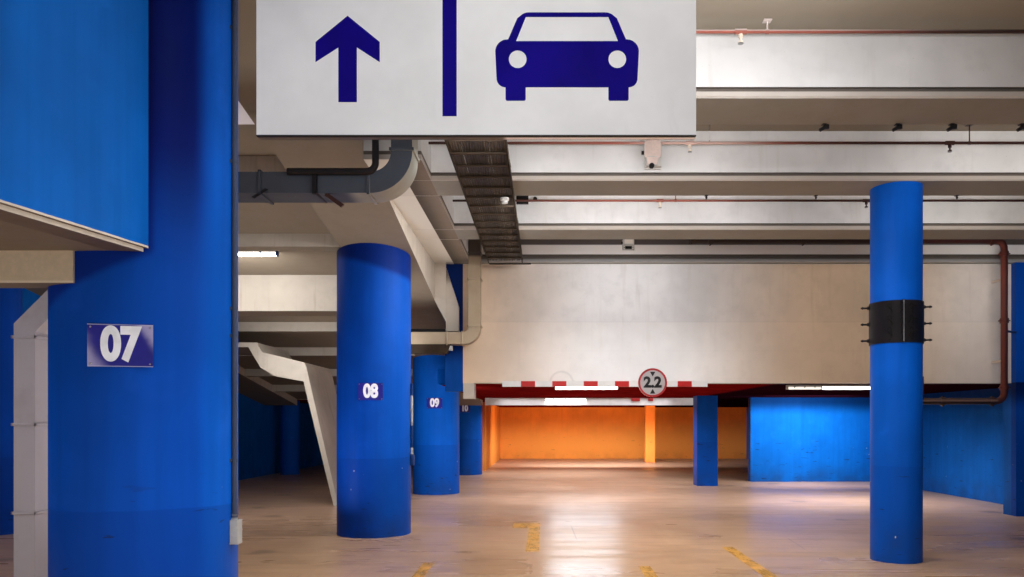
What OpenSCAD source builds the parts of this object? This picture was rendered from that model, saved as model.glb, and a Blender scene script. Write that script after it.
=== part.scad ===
// Parking hall of a split-level multi storey car park, cut open at a bay line in front.
// X runs across the hall, Y along the driving lane away from the open front, Z up.
// Places inside the hall count from the middle of the lane, the front cut and the floor's top.

/* [Hall] */
// Distance between two deck ribs
rib_pitch = 2400; // [2300:50:2500]
// Number of rib bays along the hall
rib_bays = 15; // [14:1:16]
// Distance between the left and right column rows
row_gap = 6975; // [6800:25:7200]
// Left column row to the left wall's inner face
left_bay = 6375; // [6200:25:6600]
// Right column row to the right wall's inner face
right_bay = 5150; // [5000:25:5400]
// Thickness of the outer walls
wall_t = 250; // [200:10:300]
// Thickness of the floor slab
floor_t = 300; // [200:10:400]

/* [Decks] */
// Underside of the roof deck above the floor
soffit_h = 5190; // [5150:10:5260]
// Thickness of the roof deck
deck_t = 250; // [220:10:280]
// Underside of the intermediate deck above the floor
low_soffit = 2420; // [2380:10:2460]
// Thickness of the intermediate deck
mid_deck_t = 280; // [250:10:300]
// Front edge of the rear left roof panel, counted from the front cut
roof_rear_y = 22000; // [21800:50:22300]

/* [Ribs] */
// Depth of a rib below the deck
rib_depth = 590; // [560:10:600]
// Width of a rib
rib_w = 650; // [600:10:680]
// Depth of the shadow groove along a rib
groove_d = 28; // [15:1:40]
// Height of the rib's bottom flange below the groove
flange_h = 60; // [50:5:90]
// Height of the shadow groove
groove_h = 32; // [20:2:50]
// Chamfer on the rib's bottom edges
rib_chamfer = 15; // [10:1:30]

/* [Columns] */
// Diameter of the left columns
left_col_d = 1115; // [1050:5:1150]
// Front cut to the first left column
first_col_y = 3850; // [3820:10:3900]
// Distance between left columns
left_col_pitch = 6900; // [6850:10:6910]
// Diameter of the outer left columns
outer_col_d = 600; // [500:10:650]
// Outer left column row to the left wall's inner face
outer_col_in = 610; // [560:10:700]
// Diameter of the round column on the right
round_col_d = 600; // [540:10:640]
// Side of the square column
square_col = 550; // [500:10:600]
// Front face of the square column from the front cut
square_col_y = 19720; // [19500:20:19900]
// Side of the orange column
orange_col = 400; // [350:10:450]
// Shift of the orange column off the right row
orange_col_shift = 140; // [0:10:200]
// Diameter of the upper storey's columns
upper_col_d = 500; // [400:10:560]

/* [Hall end wall] */
// Front face of the hall end wall from the front cut
end_wall_y = 13050; // [13020:10:13100]
// Thickness of the hall end wall
end_wall_t = 250; // [200:10:260]
// Left column row to the end wall's left end
end_wall_in = 1125; // [1090:5:1160]
// Width of the blue pier at the end wall's left end
pier_w = 330; // [280:10:340]
// How far the pier hangs below the low soffit
pier_drop = 150; // [100:10:200]
// Width of the blue pier at the end wall's right end
right_pier_w = 970; // [940:10:1000]
// How far the right pier stands in front of the end wall
right_pier_out = 150; // [120:5:170]
// Width of the haunch in front of the pier
haunch_w = 235; // [180:5:260]
// Thickness of the haunch
haunch_t = 110; // [80:5:130]
// Underside of the haunch above the floor
haunch_h = 3360; // [3300:10:3420]
// Height of the haunch's upright edge
haunch_edge = 440; // [380:10:500]
// Gap between the haunch's top and the rib above it
haunch_gap = 80; // [20:5:140]
// Width and length of the corbel under the wall's left end
corbel_w = 200; // [150:10:240]
// Height of the corbel
corbel_h = 285; // [200:5:320]

/* [Ramp] */
// Top end of the ramp from the front cut
ramp_top_y = 5900; // [5850:10:5950]
// Length of the ramp in plan
ramp_run = 18000; // [17950:10:18020]
// Thickness of the ramp slab
ramp_t = 250; // [200:10:280]
// Depth of the ramp's edge beams
ramp_beam_h = 450; // [400:10:500]
// Left column row to the right ramp beam's lane side
ramp_face_in = 625; // [600:5:650]
// Width of the beam that ties the rib ends together along the ramp opening
tie_beam_w = 635; // [600:5:635]
// Length of that beam in front of the fourth rib
tie_beam_lead = 750; // [700:10:850]
// Width of the ramp's edge beams
ramp_beam_w = 1050; // [1000:10:1100]
// Height of the parapet above the ramp
parapet_h = 720; // [650:10:800]
// Thickness of the parapet
parapet_t = 200; // [150:10:240]
// Depth of the cross ribs under the ramp
ramp_rib_h = 170; // [120:5:175]
// Width of the cross ribs under the ramp
ramp_rib_w = 300; // [240:10:340]
// Front face of the deep cross beam under the ramp from the front cut
deep_beam_y = 12175; // [12150:5:12200]
// Width of the deep cross beam
deep_beam_w = 650; // [620:10:680]
// Underside of the deep cross beam above the floor
deep_beam_z = 3616; // [3590:2:3640]

/* [Front left landing] */
// Underside of the landing deck above the floor, at the landing beam's front
landing_h = 2715; // [2700:5:2730]
// Rise of the landing in each metre away from the front cut
landing_rise = 65; // [58:1:72]
// Thickness of the landing deck
landing_t = 240; // [200:10:280]
// Left column row to the landing wall's lane side
landing_face_in = 255; // [240:5:290]
// Thickness of the landing wall
landing_wall_t = 200; // [150:10:240]
// Depth of the landing beam below the deck
landing_beam_h = 190; // [150:5:220]
// Width of the landing beam
landing_beam_w = 295; // [280:5:310]
// Left column row to the landing beam's end, outwards
landing_beam_in = 163; // [150:1:200]
// Chamfer along the landing edge
landing_chamfer = 24; // [10:1:30]

/* [Back hall] */
// Front face of the low beam from the front cut
low_beam_y = 21750; // [21650:10:21900]
// Thickness of the low beam
low_beam_t = 300; // [250:10:350]
// Clear height under the low beam
low_beam_clear = 2210; // [2180:5:2240]
// Left column row to the low beam's left end
low_beam_in = 865; // [820:5:900]
// Front face of the blue partition from the front cut
partition_y = 21300; // [21200:10:21350]
// Thickness of the blue partition
partition_t = 200; // [150:10:240]
// Right column row to the partition's free end
partition_in = 1550; // [1500:10:1600]
// Width of the thicker pier at the partition's free end
partition_pier = 1450; // [1300:10:1600]
// How far the partition's pier stands proud
partition_proud = 60; // [40:5:90]
// Front end of the orange side wall from the front cut
room_wall_y = 26250; // [26100:25:26400]
// Thickness of the orange side wall
room_wall_t = 250; // [200:10:300]
// Left column row to the orange side wall's inner face
room_wall_in = 525; // [480:5:560]

/* [Folded landing] */
// Front face of the folded landing from the front cut
folded_y = 14650; // [14600:10:14700]
// Length of the folded landing along the hall
folded_len = 1900; // [1600:50:2200]
// Thickness of the folded landing's level part
folded_t = 95; // [85:5:110]
// Clearance between the folded landing's level part and the ramp beam above it
folded_clear = 40; // [20:5:80]
// Left column row to the folded landing's first fold
folded_in = 3235; // [3180:5:3290]

/* [Direction sign] */
// Width of the hanging sign
sign_w = 2000; // [1900:20:2040]
// Height of the hanging sign
sign_h = 700; // [600:10:760]
// Thickness of the hanging sign
sign_t = 50; // [30:2:80]
// Underside of the hanging sign above the floor
sign_z = 3005; // [2950:5:3060]
// Front face of the hanging sign from the front cut
sign_y = 2230; // [2180:10:2300]
// Lane middle to the sign's left end
sign_left = 2175; // [2150:5:2200]
// Diameter of the sign's rods
rod_d = 16; // [13:1:24]
// Sign's ends to its rods
rod_in = 140; // [110:5:165]

/* [Height limit] */
// Length of the height bar
bar_len = 3740; // [3600:10:3900]
// Height of the height bar
bar_h = 100; // [80:5:120]
// Thickness of the height bar
bar_t = 60; // [40:5:70]
// Underside of the height bar above the floor
bar_z = 2355; // [2330:5:2370]
// Lane middle to the height bar's left end
bar_left = 1640; // [1600:10:1680]
// Diameter of the round height sign
disc_d = 525; // [500:5:600]
// Thickness of the round height sign
disc_t = 30; // [20:1:40]
// Lane middle to the middle of the round height sign
disc_x = 1095; // [1050:5:1150]

/* [Ducts and pipes] */
// Width of the main duct along the hall
duct_w = 360; // [300:10:380]
// Height of the main duct
duct_h = 215; // [180:5:240]
// Underside of the main duct above the floor
duct_z = 4035; // [4000:5:4080]
// Front face of the main duct from the front cut
duct_y = 6650; // [6600:10:6700]
// Left column row to the upright duct's right side
duct_in = 1275; // [1240:5:1300]
// Bend radius at the inside of a duct elbow
duct_bend = 210; // [150:10:240]
// Left column row to the left riser, outwards
riser_out = 2560; // [2500:10:2640]
// Height at which the left riser bends
riser_bend_z = 2620; // [2560:10:2700]
// Diameter of the black pipe
black_d = 70; // [50:2:76]
// Level length of the black pipe
black_len = 800; // [700:10:860]
// Side of the wall duct across the hall
wall_duct_w = 213; // [200:1:225]
// Depth of the wall duct along the hall
wall_duct_d = 240; // [200:5:250]
// Underside of the wall duct's level run
wall_duct_z = 3092; // [3060:4:3120]
// End wall's left end to the wall duct
wall_duct_in = 140; // [100:5:180]
// Level length of the wall duct
wall_duct_run = 1820; // [1700:10:1900]
// Bend radius at the inside of the wall duct's elbow
wall_duct_bend = 90; // [60:5:120]
// Outer diameter of the sprinkler pipes
sprinkler_d = 32; // [26:2:40]
// Middle of the first sprinkler pipe below the deck
first_sprinkler_drop = 95; // [80:5:110]
// Middle of the other sprinkler pipes below the deck
sprinkler_drop = 210; // [180:5:240]
// Clear distance of the sprinkler pipes in front of a rib
sprinkler_gap = 175; // [165:5:190]
// Distance between sprinkler heads
head_pitch = 3050; // [2900:10:3100]
// Outer diameter of the red main
main_d = 115; // [100:5:130]
// Middle of the red main below the deck
main_drop = 250; // [220:5:280]
// Middle of the red main in front of the end wall
main_off = 400; // [390:5:410]
// Height of the red main's lower run
main_low_z = 2080; // [2040:5:2120]
// Right wall's inner face to the red riser
main_in = 1330; // [1290:5:1370]
// Length of the red main's upper run
main_run = 5400; // [5200:20:5600]
// Length of the red main's lower run
main_low_run = 1620; // [1550:10:1700]

/* [Cable tray] */
// Width of the cable tray
tray_w = 610; // [560:10:640]
// Height of the tray's side rails
tray_h = 90; // [70:5:100]
// Thickness of the tray's side rails
tray_t = 10; // [6:1:16]
// Tray's top below the ribs
tray_gap = 10; // [5:5:40]
// Lane middle to the tray's right side
tray_in = 1250; // [1220:5:1290]
// Distance from the tray's far end to the wall
tray_stop = 570; // [550:10:620]
// Distance between tray rungs
rung_pitch = 400; // [350:10:450]
// Number of cables on the tray
cable_n = 9; // [7:1:10]

/* [Fittings] */
// Length of a batten light
batten_len = 1200; // [1100:10:1250]
// Width of a batten light
batten_w = 110; // [80:5:130]
// Height of a batten light
batten_h = 85; // [70:5:100]
// Length of the short batten light at the right column row
short_batten = 650; // [600:10:700]
// Ramp's right beam to the batten light under the ramp
ramp_batten_in = 2362; // [2300:2:2430]
// Width of the near bulkhead lamp
near_lamp_w = 205; // [190:5:220]
// Height of the near bulkhead lamp
near_lamp_h = 385; // [360:5:400]
// Width of the far bulkhead lamp
far_lamp_w = 213; // [190:1:230]
// Height of the far bulkhead lamp
far_lamp_h = 271; // [250:1:290]
// Depth of a bulkhead lamp
bulkhead_d = 110; // [90:5:140]
// Lane middle to the near bulkhead lamp
near_lamp_x = 425; // [300:5:500]
// Middle of the near bulkhead lamp above the rib's underside
near_lamp_up = 315; // [300:5:340]
// Lane middle to the far bulkhead lamp
far_lamp_x = 640; // [560:5:720]
// Middle of the far bulkhead lamp above the rib's underside
far_lamp_up = 345; // [320:5:360]
// Width of a number plate
plate_w = 356; // [340:2:380]
// Height of a number plate
plate_h = 250; // [220:2:280]
// Thickness of a number plate
plate_t = 6; // [4:1:10]
// Middle of the number plates above the floor
plate_z = 2155; // [2100:5:2200]
// Height of the black collar
collar_h = 510; // [460:10:560]
// Underside of the black collar above the floor
collar_z = 2665; // [2600:5:2700]
// Thickness of the black collar
collar_t = 14; // [10:1:20]
// Diameter of the column conduits
conduit_d = 32; // [24:2:40]
// Lower end of the first column's conduit
near_conduit_z = 1060; // [950:10:1150]
// Lower end of the second column's conduit
far_conduit_z = 1200; // [1100:10:1300]
// Upper end of the second column's conduit
far_conduit_top = 2300; // [2200:10:2400]

/* [Hidden] */
$fn = 64;

concrete = [0.80, 0.77, 0.72];
floor_brown = [0.52, 0.43, 0.36];
paint_blue = [0.06, 0.30, 0.72];
paint_orange = [0.78, 0.30, 0.06];
steel_grey = [0.55, 0.58, 0.60];
pipe_red = [0.48, 0.13, 0.08];
dark_tray = [0.25, 0.18, 0.13];
cap_black = [0.08, 0.08, 0.08];
sign_white = [0.85, 0.84, 0.82];

// Gap at curved seats, and how far a cutting tool runs past a face
seat = 0.3;
past = 50;

hall_len = rib_pitch * rib_bays;
left_row = -row_gap / 2;
right_row = row_gap / 2;
left_in = left_row - left_bay;
right_in = right_row + right_bay;
left_out = left_in - wall_t;
right_out = right_in + wall_t;
mid_x = (left_out + right_out) / 2;
back_in = hall_len - wall_t;

roof_top = soffit_h + deck_t;
rib_bottom = soffit_h - rib_depth;
mid_top = low_soffit + mid_deck_t;
function rib_y(k) = rib_pitch * (k + 0.5);
// Ribs 0 and 1 end at the landing wall, ribs 2 to 5 at the ramp, the rest are upstairs
hall_rib_last = 5;
ramp_side_rib_last = 8;

ramp_face = left_row + ramp_face_in;
ramp_inner = ramp_face - ramp_beam_w;
opening_x = ramp_face - parapet_t;
ramp_foot_y = ramp_top_y + ramp_run;
ramp_grade = (roof_top - mid_top) / ramp_run;
function ramp_z(y) = roof_top - (y - ramp_top_y) * ramp_grade;
function ramp_y(z) = ramp_top_y + (roof_top - z) / ramp_grade;
function beam_z(y) = ramp_z(y) - ramp_beam_h;
left_beam_x = left_in + ramp_beam_w;
// Where the beam's underside and the parapet's top come out of the roof deck
beam_start_y = ramp_y(soffit_h + ramp_beam_h);
parapet_start_y = ramp_y(soffit_h - parapet_h);
ramp_rib_fronts = [8010, 10360, 15060, 17200, 19500, 21600];

landing_face = left_row + landing_face_in;
landing_back_y = first_col_y - left_col_d / 2 + 300;
landing_beam_y = landing_back_y - landing_beam_w;
function landing_z(y) = landing_h + (y - landing_beam_y) * landing_rise / 1000;

end_wall_x = left_row + end_wall_in;
pier_x = end_wall_x - pier_w;
mid_deck_y = end_wall_y + end_wall_t;
round_col_y = rib_y(3);
orange_col_y = rib_y(13);
left_col_ys = [for (k = [0:3]) first_col_y + k * left_col_pitch];
plate_turns = [12, 7, 4, 4];
room_wall_x = left_row + room_wall_in;
folded_h = beam_z(folded_y + folded_len) - folded_clear;

sign_x = -sign_left;
tray_x = -tray_in - tray_w;
tray_len = end_wall_y - tray_stop;
tray_top = rib_bottom - tray_gap;
tray_bottom = tray_top - tray_h;
rung_w = 30;
rung_t = 20;
rod_xs = [sign_x + rod_in, sign_x + sign_w - rod_in];

duct_x = left_row + duct_in;
duct_t = duct_h;
riser_x = left_row - riser_out;
wall_duct_x = end_wall_x + wall_duct_in;
wall_duct_y = rib_y(hall_rib_last) - rib_w / 2 - wall_duct_d - 30;
head_x0 = ramp_face + 650;
tie_beam_face = ramp_face + tie_beam_w;
sprinkler_ribs = [2, 3, 4];
main_x = right_in - main_in;
main_y = end_wall_y - main_off;
main_z = soffit_h - main_drop;
main_bend = 150;
main_clip_z = 3310;

// Left ends of the batten lights behind the end wall, and of the one at the low beam
batten_xs = [-670, right_row + 945];
short_batten_x = right_row + 292.5;
beam_batten_x = -860;

// Places everything from the hall's own zero into the part's frame
module in_frame() translate([-mid_x, -hall_len / 2, floor_t]) children();

// A box between two corners
module block(a, b) translate(a) cube(b - a);

// A profile drawn in Y and Z, run along X
module run_x(x0, x1) translate([x0, 0, 0]) rotate([90, 0, 90]) linear_extrude(x1 - x0) children();

// A profile drawn in X and Z, run along Y
module run_y(y0, y1) translate([0, y1, 0]) rotate([90, 0, 0]) linear_extrude(y1 - y0) children();

module bar_x(x0, x1, y, z, d) translate([x0, y, z]) rotate([0, 90, 0]) cylinder(d = d, h = x1 - x0);
module bar_y(x, y0, y1, z, d) translate([x, y0, z]) rotate([-90, 0, 0]) cylinder(d = d, h = y1 - y0);
module bar_z(x, y, z0, z1, d) translate([x, y, z0]) cylinder(d = d, h = z1 - z0);

// Quarter bend of a round pipe in the XZ plane; turn 0 joins a run from -X to a run up
module pipe_bend(x, y, z, bend, d, turn) translate([x, y, z]) rotate([90, 0, 0]) rotate(turn)
    translate([0, bend, 0]) rotate(-90)
    rotate_extrude(angle = 90) translate([bend, 0]) circle(d = d);

// Quarter bend of a rectangular duct in the XZ plane, w along Y and t across the bend
module duct_elbow(x, y, z, inside, t, w, turn) translate([x, y + w, z]) rotate([90, 0, 0])
    rotate(turn) rotate_extrude(angle = 90) translate([inside, 0]) square([t, w]);

// One deck rib with its shadow groove, bottom flange and chamfers, in Y and Z
module rib_profile() {
    half = rib_w / 2;
    side = [[half, soffit_h], [half, rib_bottom + flange_h + groove_h],
        [half - groove_d, rib_bottom + flange_h + groove_h],
        [half - groove_d, rib_bottom + flange_h],
        [half, rib_bottom + flange_h], [half, rib_bottom + rib_chamfer],
        [half - rib_chamfer, rib_bottom]];
    polygon(concat(side, [for (i = [len(side) - 1:-1:0]) [-side[i][0], side[i][1]]]));
}

module rib(k, x0) translate([0, rib_y(k), 0]) run_x(x0, right_in) rib_profile();

module floor_slab() color(floor_brown) in_frame()
    block([left_out, 0, -floor_t], [right_out, hall_len, 0]);

module roof_deck_main() color(concrete) in_frame()
    block([opening_x, 0, soffit_h], [right_in, back_in, roof_top]);

module roof_deck_front_left() color(concrete) in_frame()
    block([left_in, 0, soffit_h], [opening_x, ramp_top_y, roof_top]);

module roof_deck_rear_left() color(concrete) in_frame()
    block([left_in, roof_rear_y, soffit_h], [opening_x, back_in, roof_top]);

module mid_deck_main() color(concrete) in_frame()
    block([ramp_face, mid_deck_y, low_soffit], [right_in, back_in, mid_top]);

module mid_deck_rear_left() color(concrete) in_frame()
    block([left_in, ramp_foot_y, low_soffit], [ramp_face, back_in, mid_top]);

// Stands clear of the left column it is cut round
module first_column_cut() translate([left_row, first_col_y, -past])
    cylinder(d = left_col_d + 2 * seat, h = roof_top, $fn = 256);

// A band along the landing in Y and Z, between two heights over the deck's sloping underside
module landing_band(y0, y1, low, high) polygon([[y0, landing_z(y0) + low],
    [y1, landing_z(y1) + low], [y1, landing_z(y1) + high], [y0, landing_z(y0) + high]]);

module landing_deck() color(concrete) in_frame() difference() {
    run_x(left_in, landing_face - landing_wall_t) landing_band(0, landing_back_y, 0, landing_t);
    first_column_cut();
}

module hall_ribs() color(concrete) in_frame() {
    rib(0, landing_face);
    rib(1, left_row - left_col_d / 2);
    for (k = [2:hall_rib_last]) rib(k, ramp_face);
    for (k = [2:hall_rib_last - 1])
        block([ramp_face, tie_beam_front(k), rib_bottom],
            [tie_beam_face, rib_y(k + 1) - rib_w / 2 - seat, soffit_h]);
}

// The first length of the beam starts behind the main duct
function tie_beam_front(k) = k == 2 ? rib_y(3) - rib_w / 2 - tie_beam_lead
    : rib_y(k) + rib_w / 2 + seat;

// Beside the ramp a rib ends at the parapet where that stands higher than the rib's underside
function upper_rib_x(k) = k > ramp_side_rib_last ? left_in
    : ramp_z(rib_y(k) - rib_w / 2) + parapet_h > rib_bottom ? ramp_face : opening_x;

module upper_storey_ribs() color(concrete) in_frame() for (k = [hall_rib_last + 1:rib_bays - 1])
    rib(k, upper_rib_x(k));

module left_wall() color(paint_blue) in_frame()
    block([left_out, 0, 0], [left_in, hall_len, roof_top]);

module right_wall() color(paint_blue) in_frame()
    block([right_in, 0, 0], [right_out, hall_len, roof_top]);

module back_wall() color(paint_orange) in_frame()
    block([left_in, back_in, 0], [right_in, hall_len, roof_top]);

module hall_end_wall() color(concrete) in_frame()
    block([end_wall_x, end_wall_y, low_soffit], [right_in, mid_deck_y, rib_bottom]);

module end_wall_pier() color(paint_blue) in_frame() {
    block([pier_x, end_wall_y, low_soffit - pier_drop], [end_wall_x, mid_deck_y, rib_bottom]);
    right_pier_x = right_in - right_pier_w;
    union() {
        block([right_pier_x, end_wall_y - right_pier_out, 0], [right_in, end_wall_y, rib_bottom]);
        block([right_pier_x, end_wall_y - right_pier_out, 0], [right_in, mid_deck_y, low_soffit]);
    }
}

// The sloping haunch on the pier's face and the corbel under the deck's left end
module end_wall_blocks() color(concrete) in_frame() {
    haunch_x = pier_x + 30;
    run_y(end_wall_y - haunch_t, end_wall_y) polygon([[haunch_x, haunch_h],
        [haunch_x + haunch_w, haunch_h], [haunch_x + haunch_w, haunch_h + haunch_edge],
        [haunch_x, rib_bottom - haunch_gap]]);
    block([end_wall_x + 5, end_wall_y, low_soffit - corbel_h],
        [end_wall_x + corbel_w, end_wall_y + 2 * corbel_w, low_soffit]);
}

module partition_wall() color(paint_blue) in_frame() {
    free_end = right_row + partition_in;
    union() {
        block([free_end, partition_y, 0], [right_in, partition_y + partition_t, low_soffit]);
        block([free_end, partition_y - partition_proud, 0],
            [free_end + partition_pier, partition_y + partition_t, low_soffit]);
    }
}

module orange_side_wall() color(paint_orange) in_frame()
    block([room_wall_x - room_wall_t, room_wall_y, 0], [room_wall_x, back_in, low_soffit]);

module low_beam() color(concrete) in_frame()
    block([left_row + low_beam_in, low_beam_y, low_beam_clear],
        [right_row, low_beam_y + low_beam_t, low_soffit]);

// The ground under the right ramp beam, which cuts the tops of the columns below it
module below_ramp() run_x(left_row - left_col_d, left_row + left_col_d)
    polygon([[beam_start_y, -past], [ramp_foot_y, -past], [ramp_foot_y, beam_z(ramp_foot_y)],
        [beam_start_y, soffit_h]]);

// A column of the left half, cut by the ramp above it or ending under the rear deck
module column_under_ramp(x, y, d) {
    if (y + d / 2 > ramp_foot_y) bar_z(x, y, 0, low_soffit, d);
    else intersection() {
        bar_z(x, y, 0, soffit_h, d);
        translate([x - left_row, 0, 0]) below_ramp();
    }
}

module left_columns() color(paint_blue) in_frame() {
    bar_z(left_row, left_col_ys[0], 0, rib_bottom, left_col_d);
    for (k = [1:3]) column_under_ramp(left_row, left_col_ys[k], left_col_d);
}

module outer_left_columns() color(paint_blue) in_frame() {
    x = left_in + outer_col_in;
    intersection() {
        bar_z(x, left_col_ys[0] - landing_back_y / 2, 0, roof_top, outer_col_d);
        run_x(left_in, left_row) landing_band(0, landing_back_y, -roof_top, 0);
    }
    for (k = [1:3]) column_under_ramp(x, left_col_ys[k], outer_col_d);
}

module round_column() color(paint_blue) in_frame()
    bar_z(right_row, round_col_y, 0, rib_bottom, round_col_d);

// Two half shells with flanged seams, three clamping rods and six seam bolts
module column_collar() color(cap_black) in_frame() translate([right_row, round_col_y, collar_z])
    rotate(-10) {
    inner = round_col_d / 2 + seat;
    outer = inner + collar_t;
    flange = 40;
    rod_reach = outer + 100;
    difference() {
        union() {
            cylinder(r = outer, h = collar_h);
            for (side = [-1, 1]) translate([-collar_t, side > 0 ? outer - 5 : -outer - flange + 5, 0])
                cube([2 * collar_t, flange, collar_h]);
            for (z = [0.1, 0.5, 0.9]) bar_x(-rod_reach, rod_reach, 0, z * collar_h, 22);
        }
        translate([0, 0, -past]) cylinder(r = inner, h = collar_h + 2 * past);
    }
}

module square_column() color(paint_blue) in_frame()
    block([right_row - square_col / 2, square_col_y, 0],
        [right_row + square_col / 2, square_col_y + square_col, low_soffit]);

module orange_column() color(paint_orange) in_frame()
    translate([right_row + orange_col_shift, orange_col_y, 0]) translate([-orange_col / 2,
        -orange_col / 2, 0]) cube([orange_col, orange_col, low_soffit]);

module upper_storey_columns() color(concrete) in_frame() {
    for (k = [7, 10, 13]) bar_z(ramp_face + upper_col_d, rib_y(k), mid_top, rib_bottom, upper_col_d);
    for (k = [8, 13]) bar_z(right_row, rib_y(k), mid_top, rib_bottom, upper_col_d);
}

module ramp_slab() color(concrete) in_frame() run_x(left_beam_x, ramp_inner)
    polygon([[ramp_top_y, roof_top - ramp_t], [ramp_top_y, roof_top], [ramp_foot_y, mid_top],
        [ramp_foot_y, mid_top - ramp_t]]);

module ramp_beam_profile() polygon([[beam_start_y, soffit_h], [ramp_top_y, soffit_h],
    [ramp_top_y, roof_top], [ramp_foot_y, mid_top], [ramp_foot_y, beam_z(ramp_foot_y)]]);

module ramp_edge_beams() color(concrete) in_frame() {
    run_x(left_in, left_beam_x) ramp_beam_profile();
    union() {
        run_x(ramp_inner, opening_x) ramp_beam_profile();
        run_x(opening_x, ramp_face) polygon([[beam_start_y, soffit_h],
            [parapet_start_y, soffit_h], [ramp_foot_y, mid_top + parapet_h],
            [ramp_foot_y, beam_z(ramp_foot_y)]]);
    }
}

// A cross rib from its front face's y, its width and its underside
module ramp_rib(y, w, z) run_x(left_beam_x, ramp_inner)
    polygon([[y, ramp_z(y) - ramp_t], [y + w, ramp_z(y + w) - ramp_t], [y + w, z], [y, z]]);

module ramp_ribs() color(concrete) in_frame() {
    for (y = ramp_rib_fronts)
        ramp_rib(y, ramp_rib_w, ramp_z(y + ramp_rib_w / 2) - ramp_t - ramp_rib_h);
    ramp_rib(deep_beam_y, deep_beam_w, deep_beam_z);
}

// A slab that folds down in steps from a level part at the left wall to the floor
module folded_landing() color(concrete) in_frame() {
    x0 = left_row - folded_in;
    low = folded_h - folded_t;
    over = [[0, 0], [110, 199], [650, 329], [960, 409], [1005, 489]];
    under = [[950, 697], [371, 590], [76, 417], [-170, 0]];
    run_y(folded_y, folded_y + folded_len) polygon(concat([[left_in, folded_h]],
        [for (p = over) [x0 + p[0], folded_h - p[1]]],
        [[x0 + 1660, 0], [x0 + 1565, 0]],
        [for (p = under) [x0 + p[0], low - p[1]]],
        [[left_in, low]]));
}

module landing_wall() color(paint_blue) in_frame() difference() {
    x0 = landing_face - landing_wall_t;
    union() {
        block([x0, 0, landing_z(0) + landing_t], [landing_face, rib_y(1) - rib_w / 2, soffit_h]);
        block([x0, 0, landing_z(0) + landing_t], [landing_face, first_col_y - 50, rib_bottom]);
        run_x(x0, landing_face - landing_chamfer)
            landing_band(0, first_col_y - 50, 0, 2 * landing_t);
        run_x(x0, landing_face)
            landing_band(0, first_col_y - 50, landing_chamfer, 2 * landing_t);
    }
    first_column_cut();
    rib_notch();
}

// Room for the first rib, which ends at the landing wall's lane side, and the second
module rib_notch() translate([0, rib_y(1), 0]) run_x(left_row - left_col_d, right_in)
    translate([-rib_w / 2, rib_bottom]) square([rib_w, rib_depth + past]);

module landing_beam() color(concrete) in_frame() difference() {
    run_x(left_in, left_row - landing_beam_in)
        landing_band(landing_beam_y, landing_back_y, -landing_beam_h, 0);
    first_column_cut();
}

module direction_sign() color(sign_white) in_frame()
    block([sign_x, sign_y, sign_z], [sign_x + sign_w, sign_y + sign_t, sign_z + sign_h]);

module sign_rods() color(steel_grey) in_frame() for (x = rod_xs)
    bar_z(x, sign_y + sign_t / 2, sign_z + sign_h, soffit_h, rod_d);

module height_bar() color(sign_white) in_frame()
    block([-bar_left, end_wall_y - bar_t, bar_z], [-bar_left + bar_len, end_wall_y, bar_z + bar_h]);

module height_sign() color(sign_white) in_frame()
    bar_y(disc_x, end_wall_y - bar_t - disc_t, end_wall_y - bar_t, bar_z + bar_h / 2 + 20, disc_d);

// Level run from the left wall, elbow, and upright run to the deck
module main_duct() color(steel_grey) in_frame() {
    bend_x = duct_x - duct_t - duct_bend;
    top_z = duct_z + duct_h + duct_bend;
    union() {
        block([left_in, duct_y, duct_z], [bend_x, duct_y + duct_w, duct_z + duct_h]);
        duct_elbow(bend_x, duct_y, top_z, duct_bend, duct_h, duct_w, -90);
        block([duct_x - duct_t, duct_y, top_z], [duct_x, duct_y + duct_w, soffit_h]);
    }
}

// Upright duct that bends over and joins the main duct from below
module left_riser() color(steel_grey) in_frame() {
    lean = duct_z - riser_bend_z;
    t = duct_h;
    run_y(duct_y, duct_y + duct_w) polygon([[riser_x - t, 0], [riser_x, 0],
        [riser_x, riser_bend_z], [riser_x + lean, duct_z], [riser_x + lean - 1.4 * t, duct_z],
        [riser_x - t, riser_bend_z + 0.4 * t]]);
}

module black_pipe() color(cap_black) in_frame() {
    y = duct_y - black_d / 2 - seat;
    z = duct_z + duct_h - 10;
    up_x = duct_x - duct_t - 150;
    bend = 90;
    union() {
        bar_x(up_x - bend - black_len, up_x - bend, y, z, black_d);
        pipe_bend(up_x - bend, y, z, bend, black_d, 0);
        bar_z(up_x, y, z + bend, soffit_h, black_d);
        block([up_x - 640, y - 10, duct_z - 20], [up_x - 600, duct_y - seat, z]);
    }
}

// Drops from the deck in front of the end wall and turns left under the ramp
module wall_duct() color(steel_grey) in_frame() {
    x = wall_duct_x;
    top_z = wall_duct_z + wall_duct_w + wall_duct_bend;
    bend_x = x - wall_duct_bend;
    union() {
        block([x, wall_duct_y, top_z], [x + wall_duct_w, wall_duct_y + wall_duct_d, soffit_h]);
        duct_elbow(bend_x, wall_duct_y, top_z, wall_duct_bend, wall_duct_w, wall_duct_d, -90);
        block([bend_x - wall_duct_run, wall_duct_y, wall_duct_z],
            [bend_x, wall_duct_y + wall_duct_d, wall_duct_z + wall_duct_w]);
    }
}

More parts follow.
